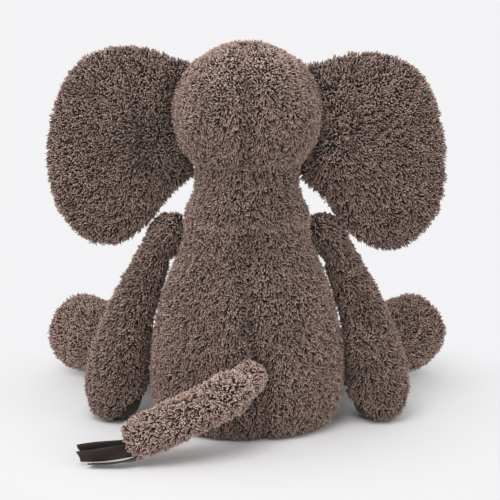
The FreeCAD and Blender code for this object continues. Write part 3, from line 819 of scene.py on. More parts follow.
def build_pile_tree():
    tree = bpy.data.node_groups.new("Pile", "GeometryNodeTree")
    tree.is_modifier = True
    tree.interface.new_socket(name="Geometry", in_out="OUTPUT", socket_type="NodeSocketGeometry")
    for label, kind, default in PILE_INPUTS:
        socket = tree.interface.new_socket(name=label, in_out="INPUT", socket_type=kind)
        if default is not None:
            socket.default_value = default
    entry = add_node(tree, "NodeGroupInput").outputs
    place = add_node(tree, "GeometryNodeInputPosition").outputs["Position"]

    def calc(operation, *values):
        return calculate(tree, operation, *values)

    def vector_sum(first, *others):
        for other in others:
            first = add_node(tree, "ShaderNodeVectorMath", {0: first, 1: other}, operation="ADD").outputs["Vector"]
        return first

    def combine(x, y, z=0.0):
        return add_node(tree, "ShaderNodeCombineXYZ", {"X": x, "Y": y, "Z": z}).outputs["Vector"]

    def stored(name, kind="FLOAT"):
        return add_node(tree, "GeometryNodeInputNamedAttribute", {"Name": name}, data_type=kind).outputs["Attribute"]

    def noise(scale, detail):
        return add_node(tree, "ShaderNodeTexNoise", {"Vector": place, "Scale": scale, "Detail": detail}).outputs

    def enabled(sockets, name=None):
        """The node's sockets in use; nodes that take several kinds of value keep one of each kind."""
        return [socket for socket in sockets if socket.enabled and name in (None, socket.name)]

    def random(kind, low, high, offset):
        node = add_node(tree, "FunctionNodeRandomValue", {"Seed": calc("ADD", entry["Seed"], offset)}, data_type=kind)
        enabled(node.inputs, "Min")[0].default_value = low
        enabled(node.inputs, "Max")[0].default_value = high
        return enabled(node.outputs)[0]

    # Points, no two closer than the spacing.
    density = calc("DIVIDE", 1.6, calc("MULTIPLY", entry["Spacing"], entry["Spacing"]))
    scatter = add_node(tree, "GeometryNodeDistributePointsOnFaces",
                       {"Mesh": entry["Geometry"], "Distance Min": entry["Spacing"], "Density Max": density,
                        "Density Factor": stored("cover"), "Seed": entry["Seed"]},
                       distribute_method="POISSON").outputs

    # The way each tuft points: combed lay, uprightness, curls and frizz.
    noise_scale = calc("DIVIDE", 1.0, entry["Curl size"])
    swirl = add_node(tree, "ShaderNodeVectorMath", {0: noise(noise_scale, 1.0)["Color"], 1: (0.5, 0.5, 0.5)},
                     operation="SUBTRACT").outputs["Vector"]
    swirl = scale_vector(tree, swirl, calc("MULTIPLY", entry["Curl"], 4.0))
    frizz = scale_vector(tree, random("FLOAT_VECTOR", (-1, -1, -1), (1, 1, 1), 11), entry["Frizz"])
    standing = scale_vector(tree, scatter["Normal"], stored("upright"))
    way = vector_sum(standing, stored("lay", "FLOAT_VECTOR"), swirl, frizz)
    # A tuft never points into the skin: its part along the normal stays above a small share.
    lift = add_node(tree, "ShaderNodeVectorMath", {0: way, 1: scatter["Normal"]}, operation="DOT_PRODUCT")
    lack = calc("MAXIMUM", calc("SUBTRACT", stored("upright"), lift.outputs["Value"]), 0.0)
    way = vector_sum(way, scale_vector(tree, scatter["Normal"], lack))
    aim = add_node(tree, "FunctionNodeAlignRotationToVector", {"Vector": way}, axis="Z")
    roll = add_node(tree, "FunctionNodeAxisAngleToRotation",
                    {"Axis": (0.0, 0.0, 1.0), "Angle": random("FLOAT", 0.0, 2 * math.pi, 12)})
    spin = add_node(tree, "FunctionNodeRotateRotation",
                    {"Rotation": aim.outputs["Rotation"], "Rotate By": roll.outputs["Rotation"]},
                    rotation_space="LOCAL")

    # Sizes: a width, and a length that varies from curl to curl and from tuft to tuft.
    clumps = noise(calc("MULTIPLY", noise_scale, 0.8), 2.0)["Fac"]
    length = calc("MULTIPLY", stored("tuft_length"), calc("MULTIPLY_ADD", clumps, 1.1, 0.45))
    length = calc("MULTIPLY", length, random("FLOAT", 0.7, 1.25, 13))
    width = calc("MULTIPLY", entry["Width"], random("FLOAT", 0.7, 1.2, 14))
    shapes = add_node(tree, "GeometryNodeCollectionInfo",
                      {"Collection": entry["Tufts"], "Separate Children": True, "Reset Children": True})
    plant = add_node(tree, "GeometryNodeInstanceOnPoints",
                     {"Points": scatter["Points"], "Instance": shapes.outputs["Instances"], "Pick Instance": True,
                      "Instance Index": random("INT", 0, TUFT_SHAPES - 1, 15), "Rotation": spin.outputs["Rotation"],
                      "Scale": combine(width, width, length)})

    # Tone of each tuft: that of its place, two soft blotches and a spread of its own.
    blotch = noise(calc("MULTIPLY", noise_scale, 0.9), 2.0)["Fac"]
    tone = calc("MULTIPLY_ADD", calc("SUBTRACT", blotch, 0.5), CURL_BLOTCH, stored("tone"))
    broad = noise(42.0, 2.0)["Fac"]
    tone = calc("MULTIPLY_ADD", calc("SUBTRACT", broad, 0.5), BROAD_BLOTCH, tone)
    tone = calc("ADD", tone, calc("MULTIPLY", random("FLOAT", -1.0, 1.0, 16), entry["Tone spread"]))
    tone = calc("MINIMUM", calc("MAXIMUM", tone, 0.02), 0.95)
    toned = add_node(tree, "GeometryNodeStoreNamedAttribute",
                     {"Geometry": plant.outputs["Instances"], "Name": "tuft_tone", "Value": tone},
                     data_type="FLOAT", domain="INSTANCE")

    # Plain mesh from here on: nothing dips below the floor, and the tone goes into the map.
    real = add_node(tree, "GeometryNodeRealizeInstances", {"Geometry": toned.outputs["Geometry"]})
    parts = add_node(tree, "ShaderNodeSeparateXYZ", {"Vector": place}).outputs
    rest = add_node(tree, "GeometryNodeSetPosition",
                    {"Geometry": real.outputs["Geometry"],
                     "Position": combine(parts["X"], parts["Y"], calc("MAXIMUM", parts["Z"], FLOOR_GAP))})
    across = calc("MULTIPLY_ADD", stored("side"), 0.02, stored("tuft_tone"))
    keep_map = add_node(tree, "GeometryNodeStoreNamedAttribute",
                        {"Geometry": rest.outputs["Geometry"], "Name": "OFBake"}, data_type="FLOAT2", domain="CORNER")
    tree.links.new(combine(across, stored("along")), enabled(keep_map.inputs, "Value")[0])
    paint = add_node(tree, "GeometryNodeSetMaterial",
                     {"Geometry": keep_map.outputs["Geometry"], "Material": entry["Material"]})
    add_node(tree, "NodeGroupOutput", {"Geometry": paint.outputs["Geometry"]})
    return tree


pile_tree = build_pile_tree()
pile_sockets = {}
for item in pile_tree.interface.items_tree:
    if item.in_out == "INPUT":
        pile_sockets[item.name] = item.identifier
print("pile tree inputs:", ", ".join(pile_sockets))

# %% [markdown]
# ## Combing
# Before the pile grows, each skin is combed: a few lines of numpy write the lay, the length and so on to its
# points. The lay is kept along the surface by taking away its part along the normal. Growing then turns the
# combed skin into one plain mesh of tufts, which rides on the body.
# %% Comb and grow
COMBED = ("lay", "upright", "tone", "tuft_length", "cover")


def along_surface(skin, directions):
    """The directions with their part along the normal removed, one unit long."""
    normals = read_normals(skin.data)
    flat = directions - normals * np.sum(directions * normals, axis=1)[:, None]
    return flat / np.maximum(np.linalg.norm(flat, axis=1), 1e-9)[:, None]


def comb(skin, lay, length, upright, tone, cover=1.0):
    """Writes what the pile tree reads; length in mm, the rest are shares; single numbers or one per point."""
    mesh = skin.data
    count = len(mesh.vertices)
    values = {"tuft_length": np.broadcast_to(length, count) * MM, "upright": np.broadcast_to(upright, count),
              "tone": np.broadcast_to(tone, count), "cover": np.broadcast_to(cover, count)}
    for name, value in values.items():
        attribute = mesh.attributes.new(name, "FLOAT", "POINT")
        attribute.data.foreach_set("value", np.ascontiguousarray(value, dtype=np.float32))
    attribute = mesh.attributes.new("lay", "FLOAT_VECTOR", "POINT")
    attribute.data.foreach_set("vector", np.ascontiguousarray(lay, dtype=np.float32).ravel())


def drop_attributes(mesh, labels):
    for label in labels:
        attribute = mesh.attributes.get(label)
        if attribute:
            mesh.attributes.remove(attribute)


pile_pieces = []


def grow_pile(skin, name, body, seed, spacing=0.86, width=0.95, curl_size=4.5, curl=0.9, frizz=0.25):
    """Grows the combed pile of a skin as one plain mesh; spacing, width and curl size are in mm."""
    carrier = link_mesh(name, skin.data.copy())
    grow = carrier.modifiers.new("Pile", "NODES")
    grow.node_group = pile_tree
    values = {"Tufts": tufts, "Material": pile_material, "Spacing": spacing * MM, "Width": width * MM,
              "Curl size": curl_size * MM, "Curl": curl, "Frizz": frizz, "Seed": seed}
    for label, value in values.items():
        grow[pile_sockets[label]] = value
    bake_modifiers(carrier)
    drop_attributes(carrier.data, COMBED + ("along", "side", "tuft_tone"))
    if body:
        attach(carrier, body)
    pile_pieces.append(carrier)
    count = len(carrier.data.polygons) // TUFT_FACES
    print("%-22s %6d tufts, %7d triangles" % (name, count, (1 + 3 * TUFT_CORNERS) * count))
    return carrier


print("combed values:", ", ".join(COMBED))

# %% [markdown]
# ## Combing each body
# Where a limb turns in its socket nothing grows, and neither does the pile grow on the suedette parts. These
# functions find such places.
# %% Places without pile
# How much a paw's pad is turned to the inside, to the front and up, and how far in mm its seam lies further out.
PAD_TURN = (-0.35, -0.10, 0.15)
PAD_INSET = {"left": 1.5, "right": 4.5}


def ball_clear(points, balls, soft=2.5):
    """0 inside the joint balls, 1 away from them."""
    share = np.ones(len(points))
    for centre, radius in balls:
        share *= smoothstep(radius, radius + soft * MM, distance_to(points, centre))
    return share


def outside_of(skin, points):
    """How far each point lies outside the skin; negative inside."""
    mesh = skin.data
    tree = BVHTree.FromPolygons([tuple(place) for place in read_points(mesh)],
                                [tuple(face.vertices) for face in mesh.polygons])
    away = []
    for point in points:
        place, normal, _, distance = tree.find_nearest(Vector(point))
        away.append(distance if (Vector(point) - place).dot(normal) > 0 else -distance)
    return np.array(away)


def pad_plane(node_name, body_centre):
    """Plane that cuts a cap-shaped panel off its limb: (a point on it, its outward direction)."""
    points = node_points(node_name)
    middle = points.mean(axis=0)
    spread = np.linalg.svd(points - middle, full_matrices=False)[2]
    outward = spread[2] if np.dot(spread[2], middle - body_centre) > 0 else -spread[2]
    level = (points @ outward).min()
    return middle + outward * (level - middle @ outward), outward


def limb_plane(kind, hand, side):
    """The plane of the foot's sole or of the paw's pad, which is sewn smaller than its solid and turned."""
    if kind == "leg":
        return pad_plane("sole_" + hand, np.array(mirrored(HIP_LEFT, side)))
    point, outward = pad_plane("paw_pad_" + hand, np.array(mirrored(SHOULDER_LEFT, side)))
    turned = outward + np.array(PAD_TURN) * [side, 1, 1]
    turned /= np.linalg.norm(turned)
    return point + turned * PAD_INSET[hand] * MM, turned


def ear_way(hand):
    """Direction from the ear's lining to its back."""
    way = node_points("ear_back_" + hand).mean(axis=0) - node_points("ear_lining_" + hand).mean(axis=0)
    return way / np.linalg.norm(way)


def box_middle(points):
    return (points.min(axis=0) + points.max(axis=0)) / 2


print("sewn panels to find:", 3 * len(SIDES))

# %% [markdown]
# On the back the pile falls straight down and dips into the centre seam, painted darker there as shade in the
# valley. The head's pile hangs down its sides, and two small puckers show where stitches pull its seam in: the
# pile is shorter there and painted dark as shade in the dip. On the trunk the pile lies along it.
# %% Torso, head and trunk
NECK_BALL = (Vector((0, 0, NECK.z)), 33.0 * MM)
# Shortening of the pile beside a seam, and how much darker it is painted there, as shade in the seam's valley.
SEAM_SHORT, SEAM_SHADE = 0.35, 0.24
# How strongly the pile turns toward a seam.
SEAM_PULL = 1.2


def toward_seam(distance, nearness):
    """Sideways push of the pile beside a seam."""
    push = np.zeros((len(distance), 3))
    push[:, 0] = -np.sign(distance) * nearness * SEAM_PULL
    return push


points = read_points(skins["torso"].data)
down = np.broadcast_to([0.0, 0.0, -1.0], points.shape)
seam = from_back_seam(points)
near_seam = (1.0 - smoothstep(1.0 * MM, 7.0 * MM, np.abs(seam))) * on_back(points)
lay = along_surface(skins["torso"], down + toward_seam(seam, near_seam))
torso_cover = ball_clear(points, torso_joints) * ball_clear(points, [NECK_BALL, (TAIL_ROOT, 8 * MM)])
torso_cover *= smoothstep(0.5 * MM, 3.0 * MM, points[:, 2])
low = 1.0 - smoothstep(55 * MM, 110 * MM, points[:, 2])
left = smoothstep(5 * MM, 35 * MM, points[:, 0])
# Painted light: the torso is painted lighter low down and on its left side; beside the back seam it is painted shade.
tone = 0.5 + 0.09 * low + 0.07 * left - SEAM_SHADE * near_seam
comb(skins["torso"], lay * 0.95, length=4.2 * (1 - SEAM_SHORT * near_seam), upright=0.85, tone=tone,
     cover=torso_cover)
torso_sides = {}
for part, behind in (("back", points[:, 1] > 0), ("belly", points[:, 1] <= 0)):
    torso_sides["pile_%s_left" % part] = behind & (points[:, 0] > 0)
    torso_sides["pile_%s_right" % part] = behind & (points[:, 0] <= 0)

head_points = read_points(skins["head"].data)
points = head_points - np.array(HEAD)
behind = points[:, 1] > 2 * MM
seam = from_head_seam(points)
near_seam = (1.0 - smoothstep(1.0 * MM, 6.5 * MM, np.abs(seam))) * behind
lay = along_surface(skins["head"], np.array([0, 0.1, -0.9]) + points * 6 + toward_seam(seam, near_seam))
head_cover = ball_clear(head_points, [NECK_BALL, (TRUNK_ROOT, 17.0 * MM)])
# Painted light: the crown is painted lighter, as light falls on it from above. The puckers shorten the pile and darken
# it with painted shade.
lit_crown = smoothstep(10 * MM, 50 * MM, points[:, 2])
pucker_and_shade = np.zeros(len(points))
for height in (28.0, -2.0):
    away = np.hypot(seam, points[:, 2] - height * MM)
    pucker_and_shade += 0.55 * (1.0 - smoothstep(2.0 * MM, 6.0 * MM, away)) * behind
comb(skins["head"], lay * 0.85, length=3.9 * (1 - SEAM_SHORT * near_seam) * (1 - pucker_and_shade), upright=0.9,
     tone=0.59 + 0.23 * lit_crown - SEAM_SHADE * near_seam - pucker_and_shade, cover=head_cover)
head_sides = {"pile_head_left": points[:, 0] > 0, "pile_head_right": points[:, 0] <= 0}

for name, start, end in (("trunk", TRUNK_ROOT, TRUNK_BEND), ("trunk_tip", TRUNK_BEND, None)):
    points = read_points(skins[name].data)
    way = np.array(end - start if end else Vector((0, -0.1, -1.0)).normalized() * 0.04)
    lay = along_surface(skins[name], np.broadcast_to(way / np.linalg.norm(way), points.shape))
    cover = ball_clear(points, [(start, 13.0 * MM)]) if name == "trunk" else 1.0
    comb(skins[name], lay * 0.8, length=3.6, upright=0.85, tone=0.5, cover=cover)
print("combed: torso, head and trunk")

# %% [markdown]
# On the limbs the pile lies along the limb, on the ears it spreads from the middle to the rim. An ear is painted
# darkest in the crevice against the head, as painted shade, and a parting runs down its inner half, painted darker
# as shade in the parted pile.
# %% Limbs, ears and tail
# The parting's ends on the left ear, as (distance from the middle plane, height) in mm.
PARTING = ((78.0, 224.0), (73.0, 199.0))
# Painted light: the left arm is painted lighter than the right, as more light falls on it.
ARM_LIT_TONE = {"left": 0.47, "right": 0.40}
# The pile of an ear spreads from a place this much further in, to the front and up from its middle, in mm.
EAR_WHORL = (-26.0, 0.0, 6.0)
# Tone of each ear, which differs between the two by painted light, and how much darker it is painted in the
# crevice, in the parting and round it, all painted shade.
EAR_TONES_AND_SHADE = {"left": (0.47, 0.42, 0.45, 0.26), "right": (0.50, 0.26, 0.12, 0.03)}

for hand, side in SIDES:
    name = "arm_" + hand
    points = read_points(skins[name].data)
    shoulder = np.array(mirrored(SHOULDER_LEFT, side))
    pad_point, pad_out = limb_plane("arm", hand, side)
    on_pad = smoothstep(-0.5 * MM, 1.0 * MM, (points - pad_point) @ pad_out)
    way = points.mean(axis=0) - shoulder
    way = way / np.linalg.norm(way) + np.array([0.35 * side, 0, 0])
    lay = along_surface(skins[name], np.broadcast_to(way, points.shape))
    comb(skins[name], lay, length=4.5, upright=0.75, tone=ARM_LIT_TONE[hand],
         cover=ball_clear(points, [(shoulder, 10.5 * MM)]) * (1 - on_pad))

    name = "leg_" + hand
    points = read_points(skins[name].data)
    hip = np.array(mirrored(HIP_LEFT, side))
    sole_point, sole_out = limb_plane("leg", hand, side)
    on_sole = smoothstep(0.0, 2.0 * MM, (points - sole_point) @ sole_out)
    foot = smoothstep(0.4, 0.85, ((points - hip) @ sole_out) / np.dot(sole_point - hip, sole_out))
    lay = along_surface(skins[name], np.broadcast_to(sole_out + np.array([0, 0, 0.15]), points.shape))
    # Painted light: the pile is painted lighter towards the foot, where light falls on it.
    comb(skins[name], lay * 0.9, length=4.3, upright=0.8, tone=0.58 + 0.36 * foot,
         cover=ball_clear(points, [(hip, 14.0 * MM)]) * (1 - on_sole))

    name = "ear_" + hand
    points = read_points(skins[name].data)
    middle = box_middle(points)
    depth = (points - middle) @ ear_way(hand)
    spoke = points - (middle + np.array(EAR_WHORL) * [side, 1, 1] * MM)
    spread_out = smoothstep(0.0, 30 * MM, np.linalg.norm(spoke, axis=1))
    lay = along_surface(skins[name], spoke) * spread_out[:, None]
    rim = 1 - smoothstep(2 * MM, 8 * MM, np.abs(depth))
    crevice = 1.0 - smoothstep(2.0 * MM, 24.0 * MM, nearest_distance(points, read_points(skins["head"].data)))
    start, end = np.array(PARTING[0]) * MM, np.array(PARTING[1]) * MM
    flat = points[:, [0, 2]] * [side, 1]
    share = np.clip(((flat - start) @ (end - start)) / ((end - start) @ (end - start)), 0, 1)
    away = np.linalg.norm(flat - start - share[:, None] * (end - start), axis=1)
    ear_tone, crevice_shade, parting_shade, shade_dark = EAR_TONES_AND_SHADE[hand]
    part = (1.0 - smoothstep(1.2 * MM, 4.5 * MM, away)) * parting_shade
    shade = (1.0 - smoothstep(6.0 * MM, 26.0 * MM, away)) * shade_dark
    # The crevice, the parting and the zone round it are darkened with painted shade.
    comb(skins[name], lay * 0.8, length=(3.8 + 0.9 * rim) * (1 - part), upright=0.85,
         tone=ear_tone + 0.06 * rim - crevice_shade * crevice - part - shade,
         cover=smoothstep(-5.0 * MM, -3.0 * MM, depth))

points = read_points(skins["tail"].data)
share = share_of_tail(points)
slope = np.array([0.75, 0.60, -0.35]) * (1 - share)[:, None] + np.array([0.98, 0.15, -0.1]) * share[:, None]
lay = along_surface(skins["tail"], slope)
# Painted light: the tail's pile is painted much lighter, as its top catches the light.
comb(skins["tail"], lay * 0.7, length=4.9 - 2.4 * (1 - smoothstep(0.0, 0.2, share)), upright=1.0, tone=0.80,
     cover=smoothstep(0.3 * MM, 1.2 * MM, outside_of(skins["torso"], points)))
print("combed: arms, legs, ears and tail")

# %% [markdown]
# The torso's pile is four plain meshes and the head's two, one for each cloth panel. Each piece has its own
# seed.
# %% Grow all the pile


def grow_by_region(body, cover, regions, first_seed, spacing):
    """Grows one piece of pile for each region of a skin."""
    skin = skins[body]
    for seed, (name, region) in enumerate(regions.items(), start=first_seed):
        skin.data.attributes["cover"].data.foreach_set("value", (cover * region).astype(np.float32))
        grow_pile(skin, name, body, seed, spacing=spacing)


grow_by_region("torso", torso_cover, torso_sides, first_seed=1, spacing=0.84)
grow_by_region("head", head_cover, head_sides, first_seed=11, spacing=0.82)
for seed, name in enumerate(("trunk", "trunk_tip"), start=21):
    grow_pile(skins[name], "pile_" + name, name, seed, spacing=0.9, curl=0.8)
for offset, (hand, _) in enumerate(SIDES):
    grow_pile(skins["ear_" + hand], "pile_ear_" + hand, "ear_" + hand, 31 + offset, curl_size=4.8)
    for kind, seed in (("arm_", 41), ("leg_", 51)):
        grow_pile(skins[kind + hand], "pile_" + kind + hand, kind + hand, seed + offset, spacing=0.88, width=1.0,
                  curl_size=5.0)
grow_pile(skins["tail"], "pile_tail", "tail", 61, spacing=0.80, width=1.15, curl_size=5.0, curl=0.8, frizz=0.3)

points = read_points(collar.data)
lay = along_surface(collar, np.broadcast_to([0.0, 0.0, -1.0], points.shape))
outside = smoothstep(34.5 * MM, 35.5 * MM, np.hypot(points[:, 0], points[:, 1]))
outside *= smoothstep(-29 * MM, -27 * MM, points[:, 2] - NECK.z)
comb(collar, lay * 0.95, length=4.1, upright=0.85, tone=0.49, cover=outside)
collar_pile = grow_pile(collar, "pile_collar", None, 71)
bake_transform(collar_pile)

# %% [markdown]
# ## Suedette panels
# Paw pads, soles and ear linings are panels of another cloth, set into the limb along a seam. Each is cut from
# the limb's own skin by a plane, lifted a little so that it crowns between its seams, and closed at the back.
# %% Panels
PANEL_THICKNESS = 1.4
# How far in mm beyond the seam's plane each kind of panel is cut, its lift, and the way over which it rises.
PANEL_CUTS = {"paw_pad_": (0.5, 0.9, 5.0), "sole_": (0.5, 1.2, 5.0), "ear_lining_": (3.2, 0.6, 4.0)}


def cut_panel(kind, hand, body, plane_point, plane_out):
    """Closed panel from the skin's part beyond the plane, lifted away from its seam."""
    beyond, lift, edge = PANEL_CUTS[kind]
    plane_point = plane_point + plane_out * beyond * MM
    panel = link_mesh("%s%s_suede" % (kind, hand), skins[body].data.copy())
    form = bmesh.new()
    form.from_mesh(panel.data)
    bmesh.ops.bisect_plane(form, geom=form.verts[:] + form.edges[:] + form.faces[:], dist=1e-7,
                           plane_co=Vector(plane_point), plane_no=Vector(plane_out), clear_inner=True)
    form.to_mesh(panel.data)
    form.free()
    keep_largest_shell(panel)
    points = read_points(panel.data)
    rise = smoothstep(0.0, edge * MM, (points - np.array(plane_point)) @ np.array(plane_out))
    quilt = 1.0 + 0.25 * wave(points, 17, 0.9)
    points += read_normals(panel.data) * (rise * lift * MM * quilt)[:, None]
    points[:, 2] = np.maximum(points[:, 2], FLOOR_GAP)
    write_points(panel.data, points)
    depth = panel.modifiers.new("Cloth", "SOLIDIFY")
    depth.thickness = PANEL_THICKNESS * MM
    depth.offset = -1.0
    bake_modifiers(panel)
    panel.data.shade_smooth()
    panel.data.materials.clear()
    panel.data.materials.append(suedette)
    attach(panel, body)
    return panel


panels = []
for hand, side in SIDES:
    for kind, limb in (("paw_pad_", "arm"), ("sole_", "leg")):
        panels.append(cut_panel(kind, hand, limb + "_" + hand, *limb_plane(limb, hand, side)))
    middle = box_middle(read_points(skins["ear_" + hand].data))
    panels.append(cut_panel("ear_lining_", hand, "ear_" + hand, middle, -ear_way(hand)))
print("suedette panels:", [panel.name for panel in panels])

# %% [markdown]
# ## Eyes
# The eyes are glossy domes of nearly black plastic, pressed into the pile on a short shank. A clear coat gives
# them the small hard highlight that makes a toy look awake. Fine scratches only change the roughness and, a
# little, the colour.
# %% Eyes
# Height of a dome as a share of its radius, and its steps from the top to the rim.
DOME_HEIGHT = 0.62
DOME_STEPS = 12


def build_eye_material():
    material, tree, shader = new_material("Glossy eye", roughness=0.12, coat=0.6)
    place = add_node(tree, "ShaderNodeTexCoord").outputs["Object"]
    scratches = add_node(tree, "ShaderNodeTexNoise", {"Vector": place, "Scale": 900.0, "Detail": 5.0})
    scratches = scratches.outputs["Fac"]
    rough = add_node(tree, "ShaderNodeMapRange", {"Value": scratches, "To Min": 0.06, "To Max": 0.22})
    tint = mix_colours(tree, scratches, (0.010, 0.006, 0.004, 1.0), (0.022, 0.013, 0.008, 1.0))
    feed(tree, shader, {"Specular IOR Level": 0.6, "Coat Roughness": 0.05, "Roughness": rough.outputs["Result"],
                        "Base Color": tint})
    return material


eye_material = build_eye_material()
for hand, _ in SIDES:
    spots = node_points("eye_" + hand)
    way = Vector(spots.mean(axis=0)) - HEAD
    way.normalize()
    heights = (spots - np.array(HEAD)) @ np.array(way)
    middle = HEAD + way * float(heights.max())
    flat = spots - np.array(HEAD) - heights[:, None] * np.array(way)
    radius = float(np.linalg.norm(flat[heights > heights.max() - 5 * MM], axis=1).max()) / MM
    foot = -DOME_HEIGHT * radius
    dome = [(0.0, foot - 1.4), (radius * 0.4, foot - 1.4), (radius * 0.93, foot - 0.9)]
    for step in range(DOME_STEPS, 0, -1):
        angle = math.radians(90 * step / DOME_STEPS)
        dome.append((radius * math.sin(angle), foot * (1 - math.cos(angle))))
    dome.append((0.0, 0.0))
    eye = lathe("eye_%s_dome" % hand, dome, 40, middle, way.to_track_quat("Z", "Y").to_matrix())
    eye.data.materials.append(eye_material)
    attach(eye, "head")
    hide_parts("eye_" + hand, "eye_washer_" + hand)
print("eye radius %.1f mm" % radius)

# %% [markdown]
# ## Tassel
# Three strips of suedette are sewn into the end of the tail. Each is swept along a short centre line with its
# own twist, thin, with a worn edge, and lies on the floor or on the strip below.
# %% Tassel strips
STRIP_WIDTH, STRIP_THICKNESS = 10.0, 0.9
STRIP_ROWS, STRIP_COLUMNS = 28, 8
# Name, three stops of the centre line in mm from the tail's end, width directions at both ends, bow in mm.
STRIPS = (
    ("strip_upper", ((-4, 1, 0.4), (16, 1, -1.6), (35, 0, -5.0)), ((0.0, 0.72, 0.69), (0.0, 0.55, 0.83)), 0.5),
    ("strip_middle", ((-4, 4, -3.2), (17, 6, -6.6), (35, 3, -8.8)), ((0.0, -0.2, 0.97), (0.0, 0.5, 0.86)), -0.7),
    ("strip_lower", ((-6, 6, -9.8), (9, 8, -12.2), (27, 6, -13.6)), ((0.0, 0.85, 0.5), (0.1, 0.95, 0.25)), 0.4),
)


def curve_at(stops, share):
    """Point on the smooth curve through three stops."""
    first, middle, last = (np.array(stop, dtype=float) for stop in stops)
    pull = 2 * middle - 0.5 * (first + last)
    return first * (1 - share) ** 2 + pull * (2 * share * (1 - share)) + last * share ** 2


def ribbon(name, stops, acrosses, bow):
    """Closed strip of cloth along the stops; acrosses are its width directions."""
    top, bottom = [], []
    for row in range(STRIP_ROWS + 1):
        share = row / STRIP_ROWS
        middle = curve_at(stops, share)
        along = curve_at(stops, min(share + 0.02, 1.0)) - curve_at(stops, max(share - 0.02, 0.0))
        along /= np.linalg.norm(along)
        across = np.array(acrosses[0]) * (1 - share) + np.array(acrosses[1]) * share
        across = across - along * (across @ along)
        across /= np.linalg.norm(across)
        face = np.cross(along, across)
        for column in range(STRIP_COLUMNS + 1):
            side = 2 * column / STRIP_COLUMNS - 1
            half = STRIP_WIDTH / 2 * (1 + 0.025 * math.sin(9 * share + 4 * side))
            rise = bow * (side * side - 0.4) + 0.25 * math.sin(7 * share + 2.5 * side)
            slack = 0.35 * share * math.sin(3 * side)
            place = middle + across * side * half + face * rise + along * slack
            top.append(place + face * STRIP_THICKNESS / 2)
            bottom.append(place - face * STRIP_THICKNESS / 2)
    points = np.array(top + bottom) * MM + np.array(TAIL_END)
    points[:, 2] = np.maximum(points[:, 2], FLOOR_GAP)
    count = len(top)
    line = STRIP_COLUMNS + 1
    faces = []
    for row in range(STRIP_ROWS):
        for column in range(STRIP_COLUMNS):
            corner = row * line + column
            faces.append((corner, corner + 1, corner + line + 1, corner + line))
            faces.append((count + corner, count + corner + line, count + corner + line + 1, count + corner + 1))
        for corner, turn in ((row * line, 1), (row * line + STRIP_COLUMNS, -1)):
            edge = (corner, corner + line, count + corner + line, count + corner)
            faces.append(edge[::turn])
    for start, turn in ((0, 1), (STRIP_ROWS * line, -1)):
        for corner in range(start, start + STRIP_COLUMNS):
            edge = (corner, corner + 1, count + corner + 1, count + corner)
            faces.append(edge[::turn])
    mesh = bpy.data.meshes.new(name)
    mesh.from_pydata([tuple(point) for point in points], [], faces)
    strip = link_mesh(name, mesh)
    turn_faces_outward(mesh)
    mesh.shade_smooth()
    mesh.materials.append(suedette)
    return strip


for number, (name, stops, acrosses, bow) in enumerate(STRIPS, start=1):
    strip = ribbon(name, stops, acrosses, bow)
    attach(strip, "tassel")
    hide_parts("tassel_strip_%d" % number)
print("tassel strips:", len(STRIPS))

# %% [markdown]
# The combed values are only for growing, and the single tufts stay behind as shapes, so both are taken out.
# %% Clear the combs away
for skin in list(skins.values()) + [collar]:
    drop_attributes(skin.data, COMBED)
for tuft in list(tufts.objects):
    bpy.data.objects.remove(tuft)
bpy.data.collections.remove(tufts)
print("pile pieces:", len(pile_pieces), "faces:", sum(len(piece.data.polygons) for piece in pile_pieces))

# %% [markdown]
# ## Floor, light and camera
# Plain soft studio light shows the pile best: a wide lamp above and behind the camera, a weaker one on each side
# and an even pale world. The floor fades into the background colour away from the toy, so that no horizon shows,
# and it keeps the toy's shadow.
# %% Stage
BACKGROUND = (0.896, 0.896, 0.913, 1.0)
WORLD_LIGHT = (1.0, 0.99, 0.98, 1.0)
WORLD_STRENGTH = 0.66
FLOOR_COLOUR = (0.83, 0.83, 0.845, 1.0)
FLOOR_REACH = 6.0
# The floor starts to fade here and has faded there, in metres from the middle.
FADE_START, FADE_END = 0.12, 0.29
LAMP_AIM = (0, 0, 0.12)
# Name, place, width and strength of each lamp.
LAMPS = (("Key lamp", (0.35, 0.9, 1.5), 1.0, 14.0), ("Left lamp", (1.3, 0.5, 0.7), 0.9, 4.0),
         ("Right lamp", (-1.3, 0.6, 0.7), 0.9, 4.0))


def mix_surfaces(tree, share, first, second, out):
    """Joins two shaders and sends them to the output."""
    mix = add_node(tree, "ShaderNodeMixShader", {"Fac": share, 1: first, 2: second})
    tree.links.new(mix.outputs["Shader"], out.inputs["Surface"])


def build_world():
    """The camera and clear reflections see the background; everything else is lit by an even pale light."""
    world = bpy.data.worlds.new("Pale studio")
    bpy.context.scene.world = world
    world.use_nodes = True
    tree = world.node_tree
    tree.nodes.clear()
    seen = add_node(tree, "ShaderNodeBackground", {"Color": BACKGROUND}).outputs["Background"]
    lit = add_node(tree, "ShaderNodeBackground", {"Color": WORLD_LIGHT, "Strength": WORLD_STRENGTH})
    path = add_node(tree, "ShaderNodeLightPath").outputs
    direct = calculate(tree, "MAXIMUM", path["Is Camera Ray"], path["Is Glossy Ray"])
    direct = calculate(tree, "MAXIMUM", direct, path["Is Transmission Ray"])
    mix_surfaces(tree, direct, lit.outputs["Background"], seen, add_node(tree, "ShaderNodeOutputWorld"))


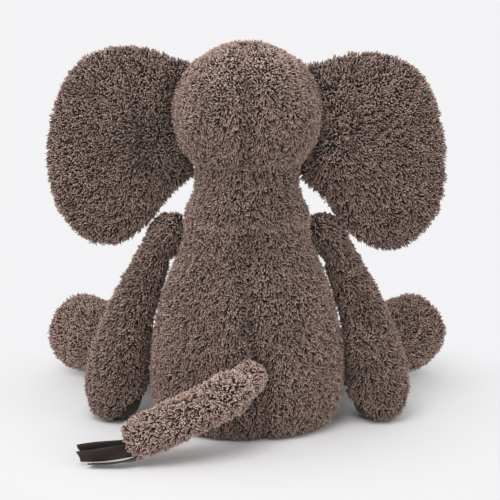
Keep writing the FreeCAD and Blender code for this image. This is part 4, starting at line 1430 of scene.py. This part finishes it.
def build_floor():
    mesh = bpy.data.meshes.new("studio_floor")
    corners = [(x * FLOOR_REACH, y * FLOOR_REACH, 0) for x, y in ((-1, -1), (1, -1), (1, 1), (-1, 1))]
    mesh.from_pydata(corners, [], [(0, 1, 2, 3)])
    floor = link_mesh("studio_floor", mesh)
    material, tree, shader = new_material("Pale floor", roughness=0.9)
    feed(tree, shader, {"Base Color": FLOOR_COLOUR, "Specular IOR Level": 0.1})
    far = add_node(tree, "ShaderNodeEmission", {"Color": BACKGROUND}).outputs["Emission"]
    place = add_node(tree, "ShaderNodeTexCoord").outputs["Object"]
    away = add_node(tree, "ShaderNodeVectorMath", {0: place}, operation="LENGTH").outputs["Value"]
    fade = add_node(tree, "ShaderNodeMapRange", {"Value": away, "From Min": FADE_START, "From Max": FADE_END},
                    interpolation_type="SMOOTHSTEP").outputs["Result"]
    path = add_node(tree, "ShaderNodeLightPath").outputs
    share = calculate(tree, "MULTIPLY", fade, path["Is Camera Ray"])
    mix_surfaces(tree, share, shader.outputs["BSDF"], far, tree.nodes["Material Output"])
    mesh.materials.append(material)


def build_lamp(name, place, width, energy):
    data = bpy.data.lights.new(name, "AREA")
    data.shape = "DISK"
    data.size = width
    data.energy = energy
    lamp = bpy.data.objects.new(name, data)
    bpy.context.scene.collection.objects.link(lamp)
    lamp.location = place
    lamp.rotation_euler = (Vector(LAMP_AIM) - Vector(place)).to_track_quat("-Z", "Y").to_euler()


build_world()
build_floor()
for lamp in LAMPS:
    build_lamp(*lamp)
print("lamps:", ", ".join(lamp[0] for lamp in LAMPS))

# %% [markdown]
# The camera stands behind the toy, a little above it, with a long lens. The Standard view shows the colours as
# they were mixed.
# %% Camera
CAMERA_DISTANCE = 1.25
CAMERA_HEIGHT_ANGLE = math.radians(13.0)
CAMERA_AIM = Vector((0, 0, 0.140))
camera_data = bpy.data.cameras.new("Camera")
camera_data.lens = 120.0
camera_data.sensor_width = 36.0
camera_data.shift_x = 0.006
camera_data.shift_y = -0.0172
camera = bpy.data.objects.new("Camera", camera_data)
bpy.context.scene.collection.objects.link(camera)
camera.location = CAMERA_AIM + CAMERA_DISTANCE * Vector((0, math.cos(CAMERA_HEIGHT_ANGLE),
                                                         math.sin(CAMERA_HEIGHT_ANGLE)))
camera.rotation_euler = (CAMERA_AIM - camera.location).to_track_quat("-Z", "Y").to_euler()
bpy.context.scene.camera = camera
bpy.context.scene.view_settings.view_transform = "Standard"
print("camera:", CAMERA_DISTANCE, "m from its aim")
